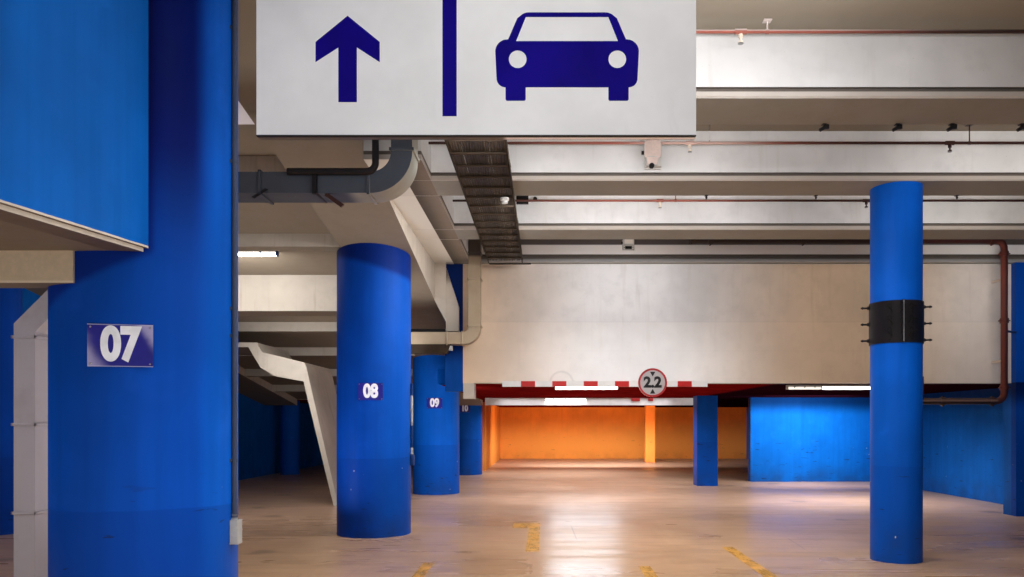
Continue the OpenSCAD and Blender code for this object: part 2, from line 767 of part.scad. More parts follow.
// Three branch pipes in front of ribs, with hangers and pendent heads
module sprinkler_pipes() color(pipe_red) in_frame() for (k = sprinkler_ribs) {
    y = rib_y(k) - rib_w / 2 - sprinkler_gap - sprinkler_d / 2;
    first = k == sprinkler_ribs[0];
    z = soffit_h - (first ? first_sprinkler_drop : sprinkler_drop);
    heads = floor((right_in - head_x0 - 300) / head_pitch);
    union() {
        bar_x(first ? ramp_face : tie_beam_face, right_in, y, z, sprinkler_d);
        for (i = [first ? 0 : 1:heads]) {
            x = head_x0 + i * head_pitch;
            bar_z(x, y, z - 90, z, 18);
            bar_z(x, y, z - 98, z - 86, 44);
            bar_z(x + 230, y, z, soffit_h, 14);
        }
    }
}

// Upper run with end cap, riser and lower run, with straps to the deck and the end wall
module red_main() color(pipe_red) in_frame() {
    strap = 40;
    low_x = main_x - main_bend - main_low_run;
    union() {
        bar_x(main_x - main_bend - main_run, main_x - main_bend, main_y, main_z, main_d);
        bar_x(main_x - main_bend - main_run - 30, main_x - main_bend - main_run, main_y, main_z,
            main_d + 30);
        pipe_bend(main_x, main_y, main_z - main_bend, main_bend, main_d, 90);
        bar_z(main_x, main_y, main_low_z + main_bend, main_z - main_bend, main_d);
        pipe_bend(main_x - main_bend, main_y, main_low_z, main_bend, main_d, 0);
        bar_x(low_x, main_x - main_bend, main_y, main_low_z, main_d);
        bar_x(low_x - 30, low_x, main_y, main_low_z, main_d + 30);
        for (x = [main_x - main_run + 700, main_x - 700])
            block([x, main_y - 3, main_z], [x + strap, main_y + 3, soffit_h]);
        for (z = [main_low_z + 700, main_z - 700])
            block([main_x - 3, main_y, z], [main_x + 3, end_wall_y, z + strap]);
        block([low_x + 300, main_y - 3, main_low_z], [low_x + 300 + strap, main_y + 3,
            low_soffit + 100]);
        block([low_x + 300, main_y - 3, low_soffit + 60], [low_x + 300 + strap, end_wall_y,
            low_soffit + 100]);
        translate([main_x, main_y, main_clip_z]) rotate(34) block([0, -3, 0], [435, 3, strap]);
    }
}

// Side rails, rungs below the cables and a hanger across the tray at each rib
module cable_tray() color(dark_tray) in_frame() {
    rungs = floor((tray_len - 100) / rung_pitch);
    union() {
        for (x = [tray_x, tray_x + tray_w - tray_t])
            block([x, 0, tray_bottom], [x + tray_t, tray_len, tray_top]);
        for (i = [0:rungs]) block([tray_x, 50 + i * rung_pitch, tray_bottom],
            [tray_x + tray_w, 50 + i * rung_pitch + rung_w, tray_bottom + rung_t]);
        for (k = [0:hall_rib_last - 1]) block([tray_x, rib_y(k) - 20, tray_top],
            [tray_x + tray_w, rib_y(k) + 20, rib_bottom]);
    }
}

module tray_cables() color(cap_black) in_frame() {
    gap = (tray_w - 2 * tray_t) / cable_n;
    for (i = [0:cable_n - 1]) {
        d = [44, 36, 52, 40, 48][i % 5];
        bar_y(tray_x + tray_t + (i + 0.5) * gap, 20, tray_len - 20 - 30 * (i % 3),
            tray_bottom + rung_t + d / 2, d);
    }
}

module batten(x, y, z, len = batten_len) {
    block([x, y - batten_w / 2, z - batten_h * 0.45], [x + len, y + batten_w / 2, z]);
    intersection() {
        bar_x(x + 15, x + len - 15, y, z - batten_h * 0.45, batten_w * 0.9);
        block([x, y - batten_w, z - batten_h], [x + len, y + batten_w, z - batten_h * 0.4]);
    }
}

// One under the end wall's deck at the left, two at the right, one at the low beam, one under
// the ramp
module batten_lights() color(sign_white) in_frame() {
    first_y = mid_deck_y + 450;
    for (x = batten_xs) union() batten(x, first_y, low_soffit);
    union() batten(short_batten_x, first_y, low_soffit, short_batten);
    union() batten(beam_batten_x, low_beam_y - batten_w / 2 - 5, low_soffit);
    ramp_y = rib_y(4) + 220;
    union() batten(ramp_inner - ramp_batten_in, ramp_y, ramp_z(ramp_y + batten_w / 2) - ramp_t);
}

// The front outline of a bulkhead lamp, a square foot below a round head
module lamp_outline(w, h) {
    translate([-w / 2, -h / 2]) square([w, h - w / 2]);
    translate([0, h / 2 - w / 2]) circle(d = w);
}

// A wall lamp on a rib's front face, a back plate with a smaller cover in front
module bulkhead(x, k, up, w, h) {
    back = bulkhead_d * 0.35;
    translate([x, rib_y(k) - rib_w / 2, rib_bottom + up]) union() {
        run_y(-back, 0) lamp_outline(w, h);
        run_y(-bulkhead_d, -back + 1) lamp_outline(w - 24, h - 24);
    }
}

module bulkhead_lamps() color(sign_white) in_frame() {
    bulkhead(near_lamp_x, 3, near_lamp_up, near_lamp_w, near_lamp_h);
    bulkhead(far_lamp_x, hall_rib_last, far_lamp_up, far_lamp_w, far_lamp_h);
    // Detector below the tray's rung nearest to the fourth rib
    detector_y = 50 + round((rib_y(3) - 50) / rung_pitch) * rung_pitch + rung_w / 2;
    union() {
        bar_z(-tray_in - 114, detector_y, tray_bottom - 30, tray_bottom, 110);
        bar_z(-tray_in - 114, detector_y, tray_bottom - 65, tray_bottom - 25, 76);
    }
}

module number_plates() color(paint_blue) in_frame() for (k = [0:3])
    translate([left_row, left_col_ys[k], plate_z]) rotate(plate_turns[k])
        translate([-plate_w / 2, -left_col_d / 2 - seat - plate_t, -plate_h / 2])
            cube([plate_w, plate_t, plate_h]);

// Conduit up the lane side of a left column, with its box
module column_conduit(k, z0, z1, d) {
    x = left_row + left_col_d / 2 + seat + d / 2;
    y = left_col_ys[k];
    union() {
        bar_z(x, y, z0, z1, d);
        block([x - d / 2, y - 40, z0 - 160], [x + 35, y + 40, z0]);
    }
}

module column_conduits() color(steel_grey) in_frame() {
    column_conduit(0, near_conduit_z, rib_bottom, conduit_d);
    column_conduit(1, far_conduit_z, far_conduit_top, conduit_d + 8);
}

floor_slab();
roof_deck_main();
roof_deck_front_left();
roof_deck_rear_left();
mid_deck_main();
mid_deck_rear_left();
landing_deck();
hall_ribs();
upper_storey_ribs();
left_wall();
right_wall();
back_wall();
hall_end_wall();
end_wall_pier();
end_wall_blocks();
partition_wall();
orange_side_wall();
low_beam();
left_columns();
outer_left_columns();
round_column();
column_collar();
square_column();
orange_column();
upper_storey_columns();
ramp_slab();
ramp_edge_beams();
ramp_ribs();
folded_landing();
landing_wall();
landing_beam();
direction_sign();
sign_rods();
height_bar();
height_sign();
main_duct();
left_riser();
black_pipe();
wall_duct();
sprinkler_pipes();
red_main();
cable_tray();
tray_cables();
batten_lights();
bulkhead_lamps();
number_plates();
column_conduits();
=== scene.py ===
"""Dresses the parking hall of a multi storey car park: finishes, fittings, lamps, stage and camera."""

import random
from math import cos, pi, radians, sin

import bmesh
import bpy
from mathutils import Matrix, Vector


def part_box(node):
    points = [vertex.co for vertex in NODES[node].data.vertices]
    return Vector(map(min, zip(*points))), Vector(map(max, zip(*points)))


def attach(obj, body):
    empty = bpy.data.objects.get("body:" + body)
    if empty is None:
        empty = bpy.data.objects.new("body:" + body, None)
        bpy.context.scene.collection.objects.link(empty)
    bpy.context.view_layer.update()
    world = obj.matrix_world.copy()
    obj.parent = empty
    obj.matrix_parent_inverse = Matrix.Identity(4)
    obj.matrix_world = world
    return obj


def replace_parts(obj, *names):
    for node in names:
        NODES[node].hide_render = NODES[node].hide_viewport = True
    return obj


bl_info = {
    "name": "Parking hall dressing",
    "version": (1, 0, 0),
    "blender": (4, 5, 0),
    "location": "3D View > Sidebar > Parking Hall",
    "description": "Finishes and fine parts for the parking hall of a multi storey car park",
    "category": "Object",
}

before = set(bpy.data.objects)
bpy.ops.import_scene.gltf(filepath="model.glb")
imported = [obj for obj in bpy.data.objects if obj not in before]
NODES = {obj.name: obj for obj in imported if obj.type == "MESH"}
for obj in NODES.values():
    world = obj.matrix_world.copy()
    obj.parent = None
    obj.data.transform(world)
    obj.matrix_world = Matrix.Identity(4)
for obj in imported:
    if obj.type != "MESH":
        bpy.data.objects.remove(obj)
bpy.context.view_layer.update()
BODY = "root"


def low(node):
    """Lowest corner of a CAD node."""
    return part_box(node)[0]


def high(node):
    """Highest corner of a CAD node."""
    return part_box(node)[1]


def middle(node):
    """Middle of a CAD node's box."""
    return (low(node) + high(node)) / 2


# Places that the whole hall is set out from, all read from the frame
FLOOR_Z = high("floor_slab").z
FRONT_Y = low("floor_slab").y
BACK_Y = high("floor_slab").y
LEFT_IN = high("left_wall").x
RIGHT_IN = low("right_wall").x
LEFT_ROW = middle("left_columns").x
RIGHT_ROW = middle("round_column").x
LANE_X = (LEFT_ROW + RIGHT_ROW) / 2
SOFFIT_Z = low("roof_deck_main").z
ROOF_Z = high("roof_deck_main").z
RIB_Z = low("hall_ribs").z
FIRST_RIB_Y = low("hall_ribs").y
END_WALL_Y = low("hall_end_wall").y
MID_Z = low("mid_deck_main").z
MID_TOP = high("mid_deck_main").z
MID_FRONT_Y = low("mid_deck_main").y

RIB_COUNT = 15
RIB_PITCH = (high("upper_storey_ribs").y - FIRST_RIB_Y) / (RIB_COUNT - 1 + 0.65 / 2.4)
RIB_W = high("upper_storey_ribs").y - FIRST_RIB_Y - RIB_PITCH * (RIB_COUNT - 1)

LEFT_RADIUS = (high("left_columns").x - low("left_columns").x) / 2
LEFT_FIRST_Y = low("left_columns").y + LEFT_RADIUS
LEFT_PITCH = (high("left_columns").y - LEFT_RADIUS - LEFT_FIRST_Y) / 3
LEFT_YS = [LEFT_FIRST_Y + k * LEFT_PITCH for k in range(4)]
PLATE_TURNS = [radians(turn) for turn in (12, 7, 4, 4)]

# The photograph's eye point in front of the hall, its focal length and the picture's shifts
EYE = Vector((LANE_X - 0.8625, FRONT_Y - 1.35, FLOOR_Z + 1.7))
LENS_MM = 27.67
SHIFT_X = -0.0322
SHIFT_Y = 0.1309

# Sizes of ducts, pipes and lamps that a node's box doesn't show by itself
DUCT_T = 0.215
DUCT_BEND = 0.21
DUCT_RUN_TOP = low("main_duct").z + DUCT_T
DUCT_BEND_X = high("main_duct").x - DUCT_T - DUCT_BEND
WALL_DUCT_T = 0.213
WALL_DUCT_BEND = 0.09
WALL_RUN_TOP = low("wall_duct").z + WALL_DUCT_T
WALL_BEND_X = high("wall_duct").x - WALL_DUCT_T - WALL_DUCT_BEND
MAIN_D = 0.115
MAIN_X = RIGHT_IN - 1.33
MAIN_Y = END_WALL_Y - 0.40
MAIN_TOP_Z = SOFFIT_Z - 0.25
MAIN_LOW_Z = FLOOR_Z + 2.08
BRANCH_D = 0.032
PLATE_W = 0.356
BRANCH_DROP = 0.21
FIRST_BRANCH_DROP = 0.095
BRANCH_GAP = 0.175
HEAD_PITCH = 3.05
BATTEN_L = 1.2
BATTEN_W = 0.11
BATTEN_H = 0.085
SHORT_BATTEN_L = 0.65
RAMP_BATTEN_Y = FIRST_RIB_Y + RIB_W / 2 + 4 * RIB_PITCH + 0.22
TRAY_TOP = RIB_Z - 0.010
RUNG_PITCH = 0.4
RUNG_TOP = low("cable_tray").z + 0.021
CABLE_COUNT = 20
COLLAR_T = 0.0143
COLLAR_TURN = radians(-10)

# The beam that ties the rib ends together, and the pale margin of its underside by the ramp, which is
# painted light
TIE_LEFT = high("ramp_edge_beams").x
TIE_RIGHT = TIE_LEFT + 0.635
TIE_PALE = 0.34

# Marks on the end wall: two faint level lines and the trace of a taken-off round sign
WALL_LIFT_Z = FLOOR_Z + 3.54
WALL_FOOT_Z = FLOOR_Z + 3.01
GHOST_X = LANE_X - 0.56
GHOST_Z = FLOOR_Z + 2.42
GHOST_R = 0.21
# Top of the columns' darker skirt above the floor
DADO_H = 1.17
# Top of the brighter band on the orange walls above the floor
ORANGE_BAND_H = 1.55
# Rise of the front left landing per metre, and the unpainted strip along its wall
LANDING_RISE = 0.065
LANDING_STRIP = 0.036

# Underside of the ramp's edge beam where it passes the end wall's haunch
BEAM_FOOT_Z = FLOOR_Z + 3.915
# The height bar's first white stretch, then its red and white stripes
BAR_START = 0.34
BAR_RED = 0.257
BAR_WHITE = 0.314
# Front of the last deep beam under the deck, from the front cut
DEEP_BEAM_FRONT = 21.75
# Soft limits across the hall: left of the end wall's pier, and the left row of columns
LEFT_OF_PIER = (-2.40, -2.35)
LEFT_SIDE = (-1.5, -1.4)
# Paints that two finishes share
STUB_BLUE = (0.003, 0.075, 0.38)
HAUNCH_SHADE = (0.10, 0.072, 0.045)
SOIL = (0.09, 0.07, 0.055)
LAMP_GLOW = 14.0

# Lamps of the hall: name, place from the lane's middle, the front cut and the floor, aim, size in
# metres, power in watts and spread in degrees
LAMP_COLOUR = (0.98, 0.985, 1.0)
GLOSS_LAMP = "sheen"
GLOSS_COLOUR = (0.72, 0.86, 1.0)
STUDIO_LEVEL = 0.30
STAGE_REACH = 400.0
STAGE_Z = -0.004
HALL_LAMPS = [
    ("bay_0", (0.0, 1.75, 4.58), (0.0, 1.0, 0.25), (2.4, 0.25), 30, 180),
    ("bay_1", (0.1, 4.05, 4.50), (0.0, 1.0, 0.10), (3.6, 0.30), 54, 180),
    ("bay_2", (-0.1, 6.45, 4.52), (0.0, 1.0, 0.15), (3.4, 0.30), 32, 180),
    ("bay_2_right", (4.7, 6.45, 4.52), (0.0, 1.0, 0.15), (2.2, 0.30), 21, 180),
    ("bay_3", (0.4, 8.75, 4.50), (0.0, 1.0, 0.15), (3.6, 0.30), 44, 180),
    ("bay_3_right", (5.0, 8.95, 4.58), (0.0, 1.0, 0.25), (1.8, 0.25), 16, 180),
    ("wall_centre", (0.3, 11.35, 4.2), (0.0, 1.0, -0.25), (1.6, 0.25), 11, 180),
    ("wall_right", (6.9, 11.35, 4.2), (0.0, 1.0, -0.2), (1.0, 0.25), 11, 180),
    ("down_0", (0.0, 2.4, 4.7), (0.0, 0.1, -1.0), (4.5, 0.4), 90, 150),
    ("down_1", (0.2, 4.8, 4.7), (0.0, 0.1, -1.0), (4.5, 0.4), 100, 150),
    ("down_2", (0.2, 7.2, 4.7), (0.0, 0.1, -1.0), (4.5, 0.4), 100, 150),
    ("down_3", (0.2, 9.6, 4.7), (0.0, 0.1, -1.0), (4.5, 0.4), 90, 130),
    ("down_4", (0.2, 11.9, 4.7), (0.0, 0.0, -1.0), (4.5, 0.3), 40, 90),
    ("sign_front", (-1.1, -3.4, 2.9), (0.0, 1.0, 0.08), (2.2, 1.0), 6, 26),
    ("from_right", (3.1, 3.3, 3.3), (-1.0, -0.15, -0.10), (1.8, 1.6), 82, 150),
    ("low_left", (-1.7, -0.5, 0.9), (-0.45, 1.0, 0.05), (1.2, 0.6), 16, 90),
    ("column_fill", (2.2, 2.6, 2.3), (0.62, 1.0, 0.05), (0.8, 0.6), 14, 60),
    ("ramp_side", (-0.4, 9.3, 4.1), (-1.0, 0.2, -0.3), (2.5, 0.3), 38, 110),
    ("ramp_side_low", (-0.9, 11.7, 3.3), (-1.0, 0.0, 0.0), (1.2, 0.4), 9, 120),
    ("sheen", (0.2, 20.0, 2.2), (0.0, -1.0, -0.15), (1.8, 0.7), 20, 120),
    ("low_columns", (-2.3, 13.7, 1.8), (-0.3, 1.0, 0.0), (1.0, 0.5), 21, 90),
    ("ramp_up", (-4.9, 9.0, 0.3), (0.0, 0.0, 1.0), (2.0, 1.5), 88, 180),
    ("ramp_up_far", (-3.3, 12.0, 3.05), (0.0, 0.3, 1.0), (0.5, 1.2), 7, 150),
    ("under_ramp", (-5.7, 10.9, 4.0), (0.0, 1.0, -0.35), (1.2, 0.3), 28, 180),
    ("under_ramp_down", (-5.7, 12.0, 3.3), (0.0, 0.4, -1.0), (2.0, 0.5), 40, 150),
    ("folded_front", (-5.6, 13.3, 3.2), (0.0, 1.0, -0.25), (1.5, 0.3), 20, 150),
    ("left_front", (-6.5, 3.4, 2.3), (0.4, 0.6, -0.8), (1.2, 0.5), 50, 180),
    ("low_centre", (0.3, 15.9, 2.25), (0.0, 0.1, -1.0), (5.0, 3.2), 150, 150),
    ("low_middle", (0.3, 20.0, 2.25), (0.0, 0.1, -1.0), (5.0, 3.4), 150, 150),
    ("low_right", (5.7, 15.6, 2.25), (0.0, 0.1, -1.0), (3.0, 2.6), 142, 150),
    ("partition", (6.3, 19.4, 2.1), (0.0, 1.0, -0.5), (2.2, 0.3), 150, 180),
    ("low_back", (-0.3, 24.6, 2.25), (0.0, 0.1, -1.0), (4.5, 3.4), 150, 150),
    ("room", (1.0, 29.0, 2.25), (0.0, 1.0, -0.5), (5.0, 0.6), 520, 180),
]

# Two opposite corners of each worn floor mark, from the lane's middle and the front cut
FLOOR_MARKS = [(-1.12, 9.00, -0.94, 11.95), (-1.39, 11.35, -1.12, 11.95), (1.55, 7.30, 1.70, 9.40),
               (0.24, 7.30, 0.38, 7.95), (-2.33, 7.30, -2.20, 8.20)]


def placed(name, data):
    """A new object in the scene."""
    thing = bpy.data.objects.new(name, data)
    bpy.context.scene.collection.objects.link(thing)
    return thing


def rib_front(k):
    """Front face of a deck rib, counted from the front."""
    return FIRST_RIB_Y + k * RIB_PITCH


def length(name, description, default):
    """A length that a user may change."""
    return bpy.props.FloatProperty(name=name, description=description, default=default, unit="LENGTH")


def paint(name, description, default):
    """A colour that a user may change."""
    return bpy.props.FloatVectorProperty(name=name, description=description, default=default,
                                         subtype="COLOR")


class HallSizes(bpy.types.PropertyGroup):
    """Sizes of the fine parts that a user may change."""

    symbol_proud: length("Symbol thickness", "How far the sign's symbols stand proud", 0.0012)
    strap_w: length("Strap width", "Width of a duct strap", 0.03)
    strap_t: length("Strap thickness", "Thickness of a duct strap", 0.004)
    flange_w: length("Flange width", "Width of a duct joint's flange", 0.03)
    flange_t: length("Flange height", "How far a duct joint's flange stands proud", 0.018)
    coupling_w: length("Coupling width", "Width of a pipe coupling", 0.09)
    hanger_d: length("Hanger diameter", "Diameter of a threaded hanger rod", 0.010)
    nut_d: length("Nut size", "Width of a hexagon nut over its corners", 0.030)
    screw_d: length("Screw head", "Diameter of a small screw's head", 0.012)
    number_h: length("Number height", "Height of the numbers on the column plates", 0.185)
    mark_t: length("Floor mark thickness", "Thickness of a painted floor mark", 0.0015)
    lamp_power: bpy.props.FloatProperty(
        name="Lamp power", description="Share of the hall lamps' full power", default=1.0)


class HallColours(bpy.types.PropertyGroup):
    """Main colours of the finishes that a user may change."""

    floor: paint("Floor", "Sealed concrete floor", (0.50, 0.305, 0.170))
    concrete: paint("Concrete", "Fair-faced concrete", (0.46, 0.40, 0.33))
    masonry: paint("Pale paint", "Pale masonry paint", (0.70, 0.695, 0.688))
    maroon: paint("Maroon", "Ceiling paint of the low hall", (0.13, 0.005, 0.005))
    wall_blue: paint("Wall blue", "Blue paint on walls", (0.003, 0.110, 0.46))
    column_blue: paint("Column blue", "Blue paint on columns", (0.002, 0.085, 0.46))
    orange: paint("Orange", "Orange wall paint", (0.60, 0.105, 0.008))
    duct: paint("Duct", "Dull galvanised sheet", (0.20, 0.215, 0.215))
    red: paint("Pipe red", "Oxide red pipe paint", (0.26, 0.045, 0.025))
    tray: paint("Tray brown", "Dusty cable tray", (0.030, 0.018, 0.009))
    panel: paint("Sign white", "Off-white sign enamel", (0.76, 0.74, 0.73))
    navy: paint("Navy", "Symbols and plates", (0.005, 0.001, 0.16))
    mark: paint("Floor mark", "Worn orange floor paint", (0.66, 0.33, 0.06))


def maths(operation, swapped=False):
    """An operator between wires and numbers that adds one Math node."""
    def run(self, *others):
        values = (*others, self) if swapped else (self, *others)
        return self.finish.node("ShaderNodeMath", {"operation": operation}, dict(enumerate(values)))
    return run


class Wire:
    """One output socket in a material's node tree. Sums on it add Math nodes."""

    def __init__(self, finish, socket):
        self.finish = finish
        self.socket = socket

    __add__ = __radd__ = maths("ADD")
    __mul__ = __rmul__ = maths("MULTIPLY")
    __sub__ = maths("SUBTRACT")
    __rsub__ = maths("SUBTRACT", swapped=True)
    __truediv__ = maths("DIVIDE")
    __pow__ = maths("POWER")
    __mod__ = maths("FLOORED_MODULO")
    __gt__ = maths("GREATER_THAN")
    __lt__ = maths("LESS_THAN")
    __abs__ = maths("ABSOLUTE")
    maximum = maths("MAXIMUM")


class Finish:
    """A procedural material with one Principled shader, set out in the frame's own metres."""

    def __init__(self, name, roughness=0.6, metallic=0.0, specular=0.5, emission=0.0):
        self.material = bpy.data.materials.new(name)
        self.material.use_nodes = True
        self.tree = self.material.node_tree
        self.shader = next(n for n in self.tree.nodes if n.type == "BSDF_PRINCIPLED")
        for socket, value in {"Roughness": roughness, "Metallic": metallic,
                              "Specular IOR Level": specular, "Emission Strength": emission}.items():
            self.shader.inputs[socket].default_value = value
        self.place = self.node("ShaderNodeTexCoord", {}, {}, "Object")
        self.x, self.y, self.z = self.parts(self.place)
        self.across, self.along, self.up = self.x - LANE_X, self.y - FRONT_Y, self.z - FLOOR_Z
        normal = self.node("ShaderNodeNewGeometry", {}, {}, "True Normal")
        self.face_x, self.face_y, self.face_z = self.parts(normal)

    def feed(self, socket, value):
        """Links a wire to a socket, or sets the socket's value."""
        if isinstance(value, Wire):
            self.tree.links.new(value.socket, socket)
        elif socket.type == "RGBA":
            socket.default_value = (*value, 1.0)
        else:
            socket.default_value = value

    def node(self, kind, settings, inputs, output=0):
        """Adds a node: its settings first, then the values or links of its sockets."""
        node = self.tree.nodes.new(kind)
        for key, value in settings.items():
            if key == "stops":
                ramp = node.color_ramp
                while len(ramp.elements) < len(value):
                    ramp.elements.new(1.0)
                for element, (position, colour) in zip(ramp.elements, value):
                    element.position = position
                    element.color = (*colour, 1.0)
            else:
                setattr(node, key, value)
        for key, value in inputs.items():
            self.feed(node.inputs[key], value)
        return Wire(self, node.outputs[output])

    def parts(self, vector):
        """The three numbers of a vector."""
        split = self.node("ShaderNodeSeparateXYZ", {}, {0: vector}).socket.node
        return [Wire(self, socket) for socket in split.outputs]

    def stretch(self, factors, shift=(0, 0, 0)):
        """The place on the object, scaled by one factor along each axis."""
        return self.node("ShaderNodeVectorMath", {"operation": "MULTIPLY_ADD"},
                         {0: self.place, 1: factors, 2: shift})

    def noise(self, scale, detail=3.0, roughness=0.55, factors=(1, 1, 1), shift=(0, 0, 0), distortion=0.0):
        return self.node("ShaderNodeTexNoise", {"noise_dimensions": "3D"},
                         {"Vector": self.stretch(factors, shift), "Scale": scale, "Detail": detail,
                          "Roughness": roughness, "Distortion": distortion}, "Fac")

    def cells(self, scale, feature="F1", output="Distance", factors=(1, 1, 1), shift=(0, 0, 0)):
        return self.node("ShaderNodeTexVoronoi", {"feature": feature},
                         {"Vector": self.stretch(factors, shift), "Scale": scale}, output)

    def flat_cells(self, scale, first, second, feature="F1", output="Distance"):
        """Cells on a flat face, set out along two of its directions."""
        place = self.node("ShaderNodeCombineXYZ", {}, {0: first, 1: second})
        return self.node("ShaderNodeTexVoronoi", {"feature": feature, "voronoi_dimensions": "2D"},
                         {"Vector": place, "Scale": scale}, output)

    def ease(self, value, start, end, first=0.0, last=1.0):
        """A soft step from first to last as value goes from start to end."""
        return self.node("ShaderNodeMapRange", {"interpolation_type": "SMOOTHSTEP", "clamp": True},
                         {"Value": value, "From Min": start, "From Max": end, "To Min": first,
                          "To Max": last})

    def fade(self, value, start, end):
        """A soft step down from 1 to 0 as value goes from start to end."""
        return self.ease(value, start, end, 1.0, 0.0)

    def band(self, value, start, end, soft):
        """1 between start and end, fading to 0 over a soft edge outside them."""
        return self.ease(value, start - soft, start) * self.fade(value, end, end + soft)

    def at(self, value, place):
        """1 on a plane face that lies at one place along an axis."""
        return self.band(value, place - FACE_REACH, place + FACE_REACH, FACE_SOFT)

    def underside(self):
        """1 on faces that look down."""
        return self.fade(self.face_z, -0.9, -0.6)

    def mix(self, share, first, second, blend="MIX"):
        """Two colours mixed by a share."""
        return self.node("ShaderNodeMix", {"data_type": "RGBA", "blend_type": blend},
                         {"Factor": share, 6: first, 7: second}, 2)

    def tint(self, share, colour, by):
        """A colour multiplied by another, by a share."""
        return self.mix(share, colour, self.mix(1.0, colour, by, "MULTIPLY"))

    def shade(self, colour, value, dark, light):
        """A colour made darker and lighter as value goes from 0 to 1."""
        dark_side = tuple(c * dark for c in colour)
        light_side = tuple(min(c * light, 1.0) for c in colour)
        return self.mix(value, dark_side, light_side)

    def mix_value(self, share, first, second):
        """Two numbers mixed by a share."""
        return first * (1.0 - share) + share * second

    def set(self, **links):
        """Feeds the shader's sockets, named with an underscore for each space."""
        for key, value in links.items():
            self.feed(self.shader.inputs[key.replace("_", " ")], value)
        return self

    def bump(self, height, strength, distance):
        bump = self.node("ShaderNodeBump", {}, {"Height": height, "Strength": strength,
                                               "Distance": distance}, "Normal")
        return self.set(Normal=bump)

    def done(self, colour, roughness, height, strength, distance):
        return self.set(Base_Color=colour, Roughness=roughness).bump(height, strength, distance)


def dim(c, by):
    """A plain colour times one share, or times one for each channel."""
    shares = by if isinstance(by, tuple) else (by, by, by)
    return tuple(v * w for v, w in zip(c, shares))


FINISHES = {}
FACE_REACH = 0.01
FACE_SOFT = 0.004


def finish(name):
    """The finished material of one slot, made once."""
    if name not in FINISHES:
        FINISHES[name] = MAKERS[name](bpy.context.scene.hall_colours).material
    return FINISHES[name]


def near(value, target, width):
    """A soft line where value is at target."""
    return value.finish.fade(abs(value - target), 0.0, width)


def with_cut(f, colour, roughness, height):
    """Adds the sawn look of the front cut: pale mortar with dark and light stones."""
    stones = f.flat_cells(38.0, f.x, f.z)
    tone = f.flat_cells(38.0, f.x, f.z, output="Color")
    stone = f.fade(stones, 0.22, 0.27)
    stone_colour = f.mix(f.ease(tone, 0.2, 0.8), (0.16, 0.14, 0.12), (0.42, 0.39, 0.35))
    mortar = f.shade((0.36, 0.34, 0.31), f.noise(9.0, 2), 0.8, 1.15)
    sawn = f.mix(stone, mortar, stone_colour)
    cut = 1.0 - f.ease(f.y, FRONT_Y + 0.001, FRONT_Y + 0.002)
    return f.mix(cut, colour, sawn), f.mix_value(cut, roughness, 0.85), height * (1.0 - cut)


MAKERS = {}


def maker(make):
    """Keeps a finish's function under its own name."""
    MAKERS[make.__name__] = make
    return make


